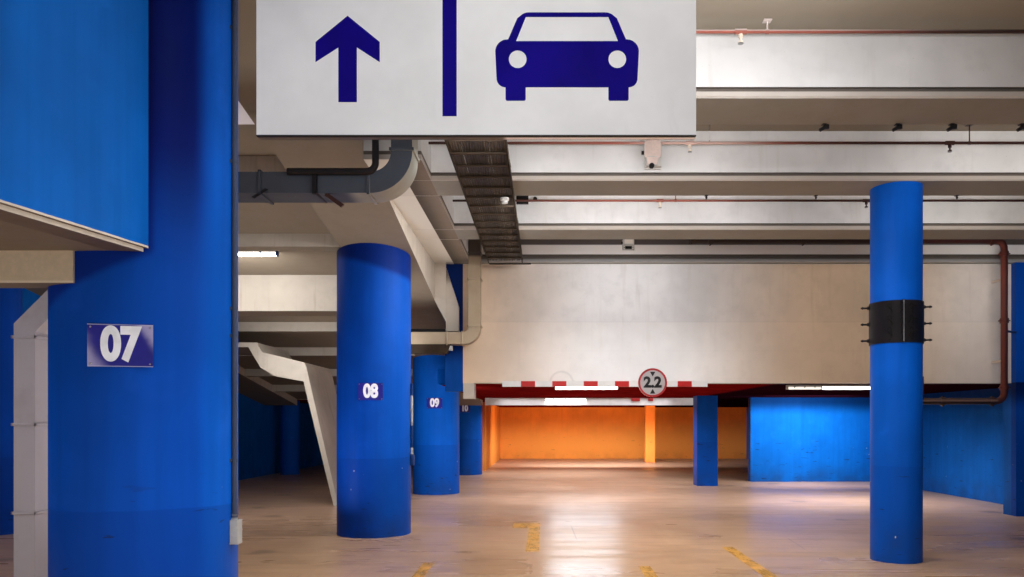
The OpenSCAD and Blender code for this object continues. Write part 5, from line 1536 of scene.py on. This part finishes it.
class HALL_OT_pipe_fittings(HallOperator, bpy.types.Operator):
    """Adds couplings, clips, tees and sprinkler deflectors to the pipes"""

    bl_idname = "hall.pipe_fittings"
    bl_label = "Pipe fittings"

    def dress(self, sizes):
        main_low = low("red_main")
        d, axis_y = MAIN_D, MAIN_Y
        top_z, low_z, riser_x = MAIN_TOP_Z, MAIN_LOW_Z, MAIN_X
        fittings = Shape()
        for x in (main_low.x + 0.35, main_low.x + 2.0, main_low.x + 3.7, riser_x - 0.22):
            pipe_coupling(fittings, (x, axis_y, top_z), (1, 0, 0), d / 2, sizes)
        for z in (top_z - 0.24, (top_z + low_z) / 2, low_z + 0.24):
            pipe_coupling(fittings, (riser_x, axis_y, z), (0, 0, 1), d / 2, sizes)
        for x in (riser_x - 0.22, riser_x - 1.1):
            pipe_coupling(fittings, (x, axis_y, low_z), (1, 0, 0), d / 2, sizes)
        fittings.piece("main_couplings", "red_pipe_paint")

        branches = Shape()
        deflectors = Shape()
        pipe_r = BRANCH_D / 2
        head_x = high("ramp_edge_beams").x + 0.65
        for k, first, drop in ((2, 0, FIRST_BRANCH_DROP), (3, 1, BRANCH_DROP), (4, 1, BRANCH_DROP)):
            z = SOFFIT_Z - drop
            y = rib_front(k) - BRANCH_GAP - pipe_r
            for i in range(first, 4):
                x = head_x + i * HEAD_PITCH
                if x > RIGHT_IN - 0.2:
                    break
                branches.lathe([(pipe_r, -0.05), (pipe_r + 0.008, -0.05), (pipe_r + 0.008, 0.05),
                                (pipe_r, 0.05)], (x, y, z), (1, 0, 0), 16)
                branches.lathe([(0.016, 0), (0.020, 0.0), (0.020, -0.035), (0.016, -0.035)],
                               (x, y, z - 0.02), (0, 0, 1), 12)
                deflectors.lathe([(0.004, -0.100), (0.024, -0.104), (0.024, -0.107), (0, -0.108)],
                                 (x, y, z), (0, 0, 1), 16)
                for way in (-1, 1):
                    deflectors.tube([(x + way * 0.006, y, z - 0.075), (x + way * 0.014, y, z - 0.09),
                                     (x + way * 0.004, y, z - 0.105)], 0.002, 6)
                hanger = x + 0.23
                if (k, i) == (3, 1):
                    continue
                branches.lathe([(pipe_r, -0.015), (pipe_r + 0.004, -0.015), (pipe_r + 0.004, 0.015),
                                (pipe_r, 0.015)], (hanger, y, z), (1, 0, 0), 16)
                branches.block((hanger - 0.035, y - 0.035, SOFFIT_Z - 0.006),
                               (hanger + 0.035, y + 0.035, SOFFIT_Z), 0.001)
        branches.piece("sprinkler_clips", "red_pipe_paint")
        deflectors.piece("sprinkler_heads", "plain_steel")


def laid_cables(rng):
    """Cables that sag a little between the tray's rungs and drift from side to side."""
    start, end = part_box("tray_cables")
    cables = Shape()
    gap = (end.x - start.x) / CABLE_COUNT
    for i in range(CABLE_COUNT):
        radius = rng.choice((0.0135, 0.0145, 0.0155, 0.018))
        x = start.x + (i + 0.5) * gap
        last_y = end.y - rng.uniform(0.0, 0.18)
        points = []
        y = start.y
        drift = rng.uniform(0, 0.5)
        while y < last_y:
            sag = 0.008 * sin(pi * ((y - start.y) % RUNG_PITCH) / RUNG_PITCH)
            sway = 0.004 * sin(0.9 * y + drift) + 0.002 * sin(2.7 * y + 2 * drift)
            points.append((x + sway, y, RUNG_TOP + radius + 0.004 - sag))
            y += 0.13
        cables.tube(points, radius, 8)
    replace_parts(cables.piece("laid_cables", "black_cable", angle=60), "tray_cables")


def tray_lips():
    """Folded lips along the tray, and a bolted splice at each joint."""
    tray_low, tray_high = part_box("cable_tray")
    lips = Shape()
    for x, way in ((tray_low.x, 1), (tray_high.x, -1)):
        lips.block((x, tray_low.y, TRAY_TOP - 0.003), (x + way * 0.028, tray_high.y, TRAY_TOP), 0.001)
        lips.block((x, tray_low.y, tray_low.z), (x + way * 0.022, tray_high.y, tray_low.z + 0.004), 0.001)
    for joint in range(1, 5):
        y = tray_low.y + joint * 2.45
        for x, way in ((tray_low.x, -1), (tray_high.x, 1)):
            lips.block((x + way * 0.004, y - 0.09, tray_low.z + 0.012), (x, y + 0.09, TRAY_TOP - 0.012),
                       0.001)
            for offset in (-0.06, -0.02, 0.02, 0.06):
                hexagon(lips, (x + way * 0.004, y + offset, (tray_low.z + TRAY_TOP) / 2), (way, 0, 0),
                        0.016, 0.006)
    lips.piece("tray_lips", "brown_tray")


def cable_ties(rng):
    """Short ties over some of the cables."""
    cables_low, cables_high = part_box("tray_cables")
    ties = Shape()
    y = low("cable_tray").y + 0.6
    while y < high("cable_tray").y - 0.3:
        x = rng.uniform(cables_low.x + 0.06, cables_high.x - 0.16)
        ties.block((x, y, RUNG_TOP + 0.001), (x + 0.11, y + 0.008, RUNG_TOP + 0.052), 0.002)
        y += 0.8
    ties.piece("cable_ties", "dark_rubber", "black_cable")


def tray_boxes():
    """A junction box with its lid and a gland on a rib, and a dark block at the tray's end that stands in
    for its shadow on the wall.
    """
    tray_low, tray_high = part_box("cable_tray")
    boxes = Shape()
    x, y, z = LANE_X - 1.20, rib_front(4), FLOOR_Z + 5.04
    boxes.block((x - 0.09, y - 0.06, z - 0.065), (x + 0.09, y, z + 0.065), 0.006)
    boxes.block((x - 0.06, y - 0.066, z - 0.04), (x + 0.06, y - 0.058, z + 0.04), 0.004)
    boxes.rod((x + 0.19, y - 0.05, z + 0.01), (x + 0.19, y, z + 0.01), 0.03, 18)
    # A dark block that stands in for the tray end's shadow on the wall.
    boxes.block((tray_low.x - 0.02, END_WALL_Y - 0.10, tray_low.z + 0.09),
                (tray_high.x + 0.13, END_WALL_Y, tray_low.z + 0.15), 0.004)
    boxes.piece("tray_boxes", "dark_rubber", "black_steel")


def spare_loop():
    """A loop of spare cable beside the tray."""
    loop = Shape()
    x, y, z = high("cable_tray").x - 0.02, rib_front(3) + RIB_W + 0.16, low("cable_tray").z + 0.27
    turns = [(x + 0.085 * cos(radians(a)), y + 0.10 * sin(radians(a)), z + 0.13 * sin(radians(a)))
             for a in range(-110, 200, 15)]
    loop.tube(turns, 0.011, 8)
    loop.piece("spare_loop", "grey_duct", "grey_conduit")


class HALL_OT_tray_fittings(HallOperator, bpy.types.Operator):
    """Lays sagging cables in the tray and adds its lips, ties and boxes"""

    bl_idname = "hall.tray_fittings"
    bl_label = "Cable tray"

    def dress(self, sizes):
        rng = random.Random(41)
        laid_cables(rng)
        tray_lips()
        cable_ties(rng)
        tray_boxes()
        spare_loop()


def collar_point(share):
    """The collar's middle at a share of its height, and the radius of its shell."""
    collar_low, collar_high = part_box("column_collar")
    column = middle("round_column")
    z = collar_low.z + share * (collar_high.z - collar_low.z)
    return Vector((column.x, column.y, z)), high("round_column").x - column.x + COLLAR_T


def collar_nuts():
    """Nuts on the collar's six long bolts, and the bolts down its two seams."""
    nuts = Shape()
    for share in (0.1, 0.5, 0.9):
        (x, y, z), shell = collar_point(share)
        for way in (-1, 1):
            nuts.rod((x + way * (shell - 0.004), y, z), (x + way * (shell + 0.006), y, z), 0.03, 20)
            hexagon(nuts, (x + way * (shell + 0.006), y, z), (way, 0, 0), 0.042, 0.02)
            hexagon(nuts, (x + way * (shell + 0.072), y, z), (way, 0, 0), 0.034, 0.014)
    for share in (0.08, 0.25, 0.42, 0.58, 0.75, 0.92):
        (x, y, z), shell = collar_point(share)
        for way in (-1, 1):
            seam_y = y + way * (shell + 0.022)
            nuts.rod((x - 0.03, seam_y, z), (x + 0.03, seam_y, z), 0.007, 10)
            hexagon(nuts, (x + 0.0145, seam_y, z), (1, 0, 0), 0.026, 0.010)
            hexagon(nuts, (x - 0.0145, seam_y, z), (-1, 0, 0), 0.026, 0.010)
    nuts.spin(x, y, COLLAR_TURN).piece("collar_nuts", "black_steel")


def collar_slots():
    """Hooked slots and bent rods on the collar's front."""
    slots = Shape()
    hook = (arc((0, 0.035), 0.030, 200, -20, 8) + [(0.028, -0.055)]
            + arc((0.019, -0.055), 0.009, 0, -180, 4) + [(0.010, 0.025)]
            + arc((0, 0.035), 0.012, -20, 200, 6))
    for share in (0.24, 0.52, 0.80):
        for turn in (-37, 8):
            at, shell = collar_point(share)
            face = (Matrix.Translation(at) @ Matrix.Rotation(radians(turn), 4, "Z")
                    @ facing_front(0, -shell - 0.001, 0))
            slots.plate([hook], face, 0.004)
            slots.plate([circle((0.004, -0.085), 0.010, 14)], face, 0.005)
    bends = ((9, [(0.055, 0.030), (0.010, 0.028), (-0.025, 0.008), (-0.045, -0.030)]),
             (-35, [(-0.032, 0.030), (0.0, 0.004), (0.020, -0.024)]))
    for share in (0.20, 0.50, 0.80):
        for turn, bend in bends:
            at, shell = collar_point(share)
            place = Matrix.Translation(at) @ Matrix.Rotation(radians(turn), 4, "Z")
            slots.tube([place @ Vector((u, -shell - 0.014, v)) for u, v in bend], 0.010, 10)
            u, v = bend[1]
            slots.rod(place @ Vector((u, -shell - 0.014, v)), place @ Vector((u, -shell + 0.004, v)),
                      0.009, 10)
    slots.piece("collar_slots", "dark_rubber", "black_steel")


def collar_seam():
    """The bright edge down the collar's front seam."""
    collar_low, collar_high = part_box("column_collar")
    x, y = RIGHT_ROW, middle("round_column").y
    front = y - (y - collar_low.y) / cos(COLLAR_TURN)
    seam = Shape()
    seam.block((x - 0.005, front - 0.003, collar_low.z + 0.006),
               (x + 0.005, front + 0.001, collar_high.z - 0.006), 0.001)
    seam.spin(x, y, COLLAR_TURN).piece("collar_seam", "plain_steel", "black_steel")


class HALL_OT_collar_fittings(HallOperator, bpy.types.Operator):
    """Adds nuts, washers, seam bolts and slanted slots to the column's collar"""

    bl_idname = "hall.collar_fittings"
    bl_label = "Column collar"

    def dress(self, sizes):
        collar_nuts()
        collar_slots()
        collar_seam()


class HALL_OT_conduit_fittings(HallOperator, bpy.types.Operator):
    """Adds saddles, couplings and slotted box covers to the column conduits"""

    bl_idname = "hall.conduit_fittings"
    bl_label = "Column conduits"

    def dress(self, sizes):
        clips = Shape()
        covers = Shape()
        for k, radius, foot, heights in ((0, 0.016, 1.06, (1.45, 2.27, 2.45, 3.42, 4.3)),
                                         (1, 0.020, 1.20, (1.5, 1.9, 2.2))):
            x = LEFT_ROW + LEFT_RADIUS + 0.0003 + radius
            y = LEFT_YS[k]
            for z in heights:
                clips.lathe([(radius, -0.012), (radius + 0.003, -0.012), (radius + 0.003, 0.012),
                             (radius, 0.012)], (x, y, FLOOR_Z + z), (0, 0, 1), 16)
                clips.block((x - radius, y - radius - 0.02, FLOOR_Z + z - 0.011),
                            (x - radius + 0.004, y + radius + 0.02, FLOOR_Z + z + 0.011), 0.001)
                for way in (-1, 1):
                    hexagon(clips, (x - radius + 0.004, y + way * (radius + 0.012), FLOOR_Z + z),
                            (1, 0, 0), 0.010, 0.004)
            box_z = FLOOR_Z + foot
            clips.lathe([(radius, 0), (radius + 0.006, 0), (radius + 0.006, 0.028), (radius + 0.001, 0.034)],
                        (x, y, box_z), (0, 0, 1), 16)
            reach = x + 0.035
            front = y - 0.040
            covers.block((x - radius + 0.002, front - 0.004, box_z - 0.155),
                         (reach - 0.002, front, box_z - 0.005), 0.002)
            for offset in (0.045, 0.075, 0.105):
                covers.block((x - radius + 0.010, front - 0.0055, box_z - offset - 0.004),
                             (reach - 0.010, front - 0.003, box_z - offset + 0.004), 0.001)
        clips.piece("conduit_clips", "grey_conduit")
        covers.piece("conduit_covers", "grey_conduit")


def batten_caps():
    """End caps and latches on the battens."""
    caps = Shape()
    first_y = high("hall_end_wall").y + 0.45
    lamps = [(LANE_X - 0.67, first_y, MID_Z, BATTEN_L), (RIGHT_ROW + 0.945, first_y, MID_Z, BATTEN_L),
             (RIGHT_ROW + 0.2925, first_y, MID_Z, SHORT_BATTEN_L),
             (LANE_X - 0.86, low("low_beam").y - 0.06, MID_Z, BATTEN_L),
             (low("batten_lights").x, RAMP_BATTEN_Y, high("batten_lights").z, BATTEN_L)]
    half = BATTEN_W / 2
    for x, y, z, length_x in lamps:
        for end in (x, x + length_x):
            caps.block((end - 0.006, y - half - 0.003, z - BATTEN_H - 0.003),
                       (end + 0.014, y + half + 0.003, z - 0.001), 0.006)
        for share in (0.2, 0.5, 0.8):
            for way in (-1, 1):
                latch = x + share * length_x
                caps.block((latch - 0.015, y + way * half - 0.004, z - 0.055),
                           (latch + 0.015, y + way * half + 0.004, z - 0.025), 0.002)
    caps.piece("batten_caps", "grey_conduit", "lamp_cover")


def aged_lamp(pale, rims, dark):
    """The near bulkhead lamp: an opal cover with its rim, cap and gland."""
    x, z = LANE_X + 0.395, RIB_Z + 0.27
    front, back = rib_front(3) - 0.235, rib_front(3) - 0.1
    cover = [(-0.052, -0.155), (0.052, -0.155), (0.072, -0.075), (0.094, -0.065)]
    cover += arc((0, 0.062), 0.094, 0, 180, 16) + [(-0.094, -0.065), (-0.072, -0.075)]
    inner = [(-0.066, -0.055), (0.066, -0.055)] + arc((0, 0.062), 0.066, 0, 180, 12)
    pale.plate([cover], facing_front(x, front, z), 0.014)
    rims.plate([[(u * 1.06, v * 1.04) for u, v in cover], cover], facing_front(x, front + 0.004, z), 0.012)
    rims.plate([inner, [(u * 0.90, v * 0.93) for u, v in inner]], facing_front(x, front - 0.001, z), 0.004)
    rims.block((x - 0.062, front - 0.008, z - 0.070), (x + 0.062, front, z - 0.058), 0.002)
    rims.block((x - 0.03, front + 0.012, z - 0.08), (x + 0.03, back, z - 0.03), 0.006)
    dark.rod((x - 0.010, front - 0.01, z - 0.168), (x - 0.010, front + 0.03, z - 0.168), 0.031, 20,
             bevel=0.006)
    dark.rod((x - 0.125, front + 0.03, z - 0.01), (x - 0.092, front + 0.03, z - 0.01), 0.022, 14)


def glass_lamp(glass, rims, dark):
    """The far bulkhead lamp: a glass pane in a rim, with its guard, lug and screws."""
    w, h = 0.213, 0.271
    x, y, z = LANE_X + 0.64, rib_front(5), RIB_Z + 0.345
    centre = (0, h / 2 - w / 2)
    pane = [(-w * 0.34, -h * 0.12), (w * 0.34, -h * 0.12)] + arc(centre, w * 0.34, 0, 180, 12)
    glass.plate([pane], facing_front(x, y - 0.1105, z), 0.003)
    ring = [(-w * 0.5, -h * 0.5), (w * 0.5, -h * 0.5)] + arc(centre, w * 0.5, 0, 180, 16)
    inner = [(-w * 0.43, -h * 0.45), (w * 0.43, -h * 0.45)] + arc(centre, w * 0.43, 0, 180, 16)
    rims.plate([ring, inner], facing_front(x, y - 0.045, z), 0.02)
    rims.block((x - w * 0.40, y - 0.118, z - h * 0.25), (x + w * 0.40, y - 0.108, z - h * 0.20), 0.003)
    dark.block((x - w * 0.30, y - 0.122, z - h * 0.495), (x + w * 0.26, y - 0.109, z - h * 0.30), 0.005)
    dark.rod((x - w / 2 - 0.022, y - 0.04, z - h * 0.03), (x - w / 2 + 0.002, y - 0.04, z - h * 0.03),
             0.022, 14)
    for way in (-1, 1):
        hexagon(dark, (x + way * w * 0.36, y - 0.1085, z - h * 0.40), (0, -1, 0), 0.014, 0.004)


class HALL_OT_lamp_fittings(HallOperator, bpy.types.Operator):
    """Adds end caps and latches to the battens, and guards and glass to the bulkhead lamps"""

    bl_idname = "hall.lamp_fittings"
    bl_label = "Lamps"

    def dress(self, sizes):
        batten_caps()
        glass, rims, dark, pale = Shape(), Shape(), Shape(), Shape()
        aged_lamp(pale, rims, dark)
        glass_lamp(glass, rims, dark)
        glass.piece("bulkhead_glass", "lit_glass", "lamp_cover")
        pale.piece("bulkhead_cover", "aged_plastic", "lamp_cover")
        rims.piece("bulkhead_rims", "grey_conduit", "lamp_cover")
        dark.piece("bulkhead_caps", "dark_rubber", "black_steel")


class HALL_OT_rib_clips(HallOperator, bpy.types.Operator):
    """Hangs small beam clips and wires under the ribs' rear edges"""

    bl_idname = "hall.rib_clips"
    bl_label = "Rib clips"

    def dress(self, sizes):
        clips = Shape()
        for k, places in ((2, (1.85, 2.56, 3.09, 3.77, 6.1)), (3, (1.2, 2.6, 4.4, 6.6))):
            y = rib_front(k) + RIB_W
            for place in places:
                x = LANE_X + place
                clips.block((x - 0.02, y - 0.05, RIB_Z - 0.006), (x + 0.02, y + 0.006, RIB_Z), 0.002)
                clips.block((x - 0.02, y, RIB_Z - 0.006), (x + 0.02, y + 0.006, RIB_Z + 0.05), 0.002)
                clips.rod((x, y - 0.02, RIB_Z - 0.045), (x, y - 0.02, RIB_Z - 0.004), 0.010, 10)
                hexagon(clips, (x, y - 0.02, RIB_Z - 0.02), (0, 0, -1), 0.03, 0.012)
                if k == 3:
                    continue
                clips.rod((x - 0.045, y - 0.03, RIB_Z - 0.062), (x + 0.040, y - 0.03, RIB_Z - 0.014),
                          0.017, 12, bevel=0.003)
                clips.block((x - 0.012, y - 0.045, RIB_Z - 0.05), (x + 0.045, y - 0.015, RIB_Z - 0.008),
                            0.004)
        clips.piece("beam_clips", "black_steel")
        cover = Shape()
        block_low = low("end_wall_blocks")
        left = high("ramp_edge_beams").x
        outline = [(left, RIB_Z), (left, BEAM_FOOT_Z), (block_low.x + 0.005, BEAM_FOOT_Z - 0.39),
                   (block_low.x + 0.005, RIB_Z)]
        cover.prism(outline, 1, block_low.y - 0.02, block_low.y)
        cover.piece("joint_cover", "raw_concrete", "painted_concrete")


class HALL_OT_floor_marks(HallOperator, bpy.types.Operator):
    """Paints the worn orange marks on the lane"""

    bl_idname = "hall.floor_marks"
    bl_label = "Floor marks"

    def dress(self, sizes):
        t = sizes.mark_t
        lay = Matrix.Translation((LANE_X, FRONT_Y, FLOOR_Z + t / 2 + 0.0005))
        marks = Shape()
        for x0, y0, x1, y1 in FLOOR_MARKS:
            marks.plate([[(x0, y0), (x1, y0), (x1, y1), (x0, y1)]], lay, t)
        marks.piece("lane_marks", "floor_mark", "garage_floor")


def area_lamp(name, place, aim, size, power, spread):
    """A soft rectangular lamp that the camera doesn't show, and a gloss only where it is named."""
    data = bpy.data.lights.new(name, "AREA")
    data.shape = "RECTANGLE"
    data.size, data.size_y = size
    data.energy = power
    data.color = GLOSS_COLOUR if name == GLOSS_LAMP else LAMP_COLOUR
    data.spread = radians(spread)
    lamp = placed(name, data)
    lamp.location = place
    lamp.rotation_euler = Vector(aim).to_track_quat("-Z", "Y").to_euler()
    lamp.visible_camera = False
    lamp.visible_glossy = name == GLOSS_LAMP


class HALL_OT_stage(HallOperator, bpy.types.Operator):
    """Sets up the pale floor, the soft light and the camera"""

    bl_idname = "hall.stage"
    bl_label = "Stage, lamps and camera"

    def dress(self, sizes):
        scene = bpy.context.scene
        mesh = bpy.data.meshes.new("stage_floor")
        reach = STAGE_REACH
        mesh.from_pydata([(-reach, -reach, STAGE_Z), (reach, -reach, STAGE_Z), (reach, reach, STAGE_Z),
                          (-reach, reach, STAGE_Z)], [], [(0, 1, 2, 3)])
        mesh.materials.append(Finish("stage_pale", 0.9).set(Base_Color=(0.80, 0.79, 0.77)).material)
        placed("stage_floor", mesh)

        world = bpy.data.worlds.new("studio")
        world.use_nodes = True
        tree = world.node_tree
        back = next(n for n in tree.nodes if n.type == "BACKGROUND")
        back.inputs["Color"].default_value = (0.93, 0.95, 1.0, 1.0)
        path = tree.nodes.new("ShaderNodeLightPath")
        level = tree.nodes.new("ShaderNodeMapRange")
        level.inputs["To Min"].default_value = STUDIO_LEVEL
        level.inputs["To Max"].default_value = 1.0
        tree.links.new(path.outputs["Is Camera Ray"], level.inputs["Value"])
        tree.links.new(level.outputs[0], back.inputs["Strength"])
        scene.world = world

        for name, (x, y, z), aim, lamp_size, power, spread in HALL_LAMPS:
            place = (LANE_X + x, FRONT_Y + y, FLOOR_Z + z)
            area_lamp(name, place, aim, lamp_size, power * sizes.lamp_power, spread)
        sun = bpy.data.lights.new("studio_key", "SUN")
        sun.energy = 1.1
        sun.angle = radians(35)
        key = placed("studio_key", sun)
        key.rotation_euler = (radians(38), radians(-18), radians(24))

        lens = bpy.data.cameras.new("eye")
        lens.lens = LENS_MM
        lens.sensor_width = 36.0
        lens.shift_x, lens.shift_y = SHIFT_X, SHIFT_Y
        lens.clip_start, lens.clip_end = 0.05, 500.0
        camera = placed("eye", lens)
        camera.location = EYE
        camera.rotation_euler = (radians(90), 0, 0)
        scene.camera = camera
        scene.view_settings.view_transform = "Standard"


OPERATORS = (
    HALL_OT_finishes, HALL_OT_sign_symbols, HALL_OT_sign_frame, HALL_OT_plate_numbers, HALL_OT_height_limit,
    HALL_OT_duct_fittings, HALL_OT_pipe_fittings, HALL_OT_tray_fittings, HALL_OT_collar_fittings,
    HALL_OT_conduit_fittings, HALL_OT_lamp_fittings, HALL_OT_rib_clips, HALL_OT_floor_marks, HALL_OT_stage)


class HALL_PT_dressing(bpy.types.Panel):
    """Lists the steps that dress the parking hall"""

    bl_idname = "HALL_PT_dressing"
    bl_label = "Parking Hall"
    bl_space_type = "VIEW_3D"
    bl_region_type = "UI"
    bl_category = "Parking Hall"

    def draw(self, context):
        for operator in OPERATORS:
            self.layout.operator(operator.bl_idname)
        for group in (context.scene.hall_sizes, context.scene.hall_colours):
            box = self.layout.box()
            for name in group.__annotations__:
                box.prop(group, name)


CLASSES = (HallSizes, HallColours, *OPERATORS, HALL_PT_dressing)


def register():
    for item in CLASSES:
        bpy.utils.register_class(item)
    bpy.types.Scene.hall_sizes = bpy.props.PointerProperty(type=HallSizes)
    bpy.types.Scene.hall_colours = bpy.props.PointerProperty(type=HallColours)


def unregister():
    del bpy.types.Scene.hall_colours
    del bpy.types.Scene.hall_sizes
    for item in reversed(CLASSES):
        bpy.utils.unregister_class(item)


def main():
    register()
    for operator in OPERATORS:
        group, name = operator.bl_idname.split(".")
        getattr(getattr(bpy.ops, group), name)()


if __name__ == "__main__":
    main()
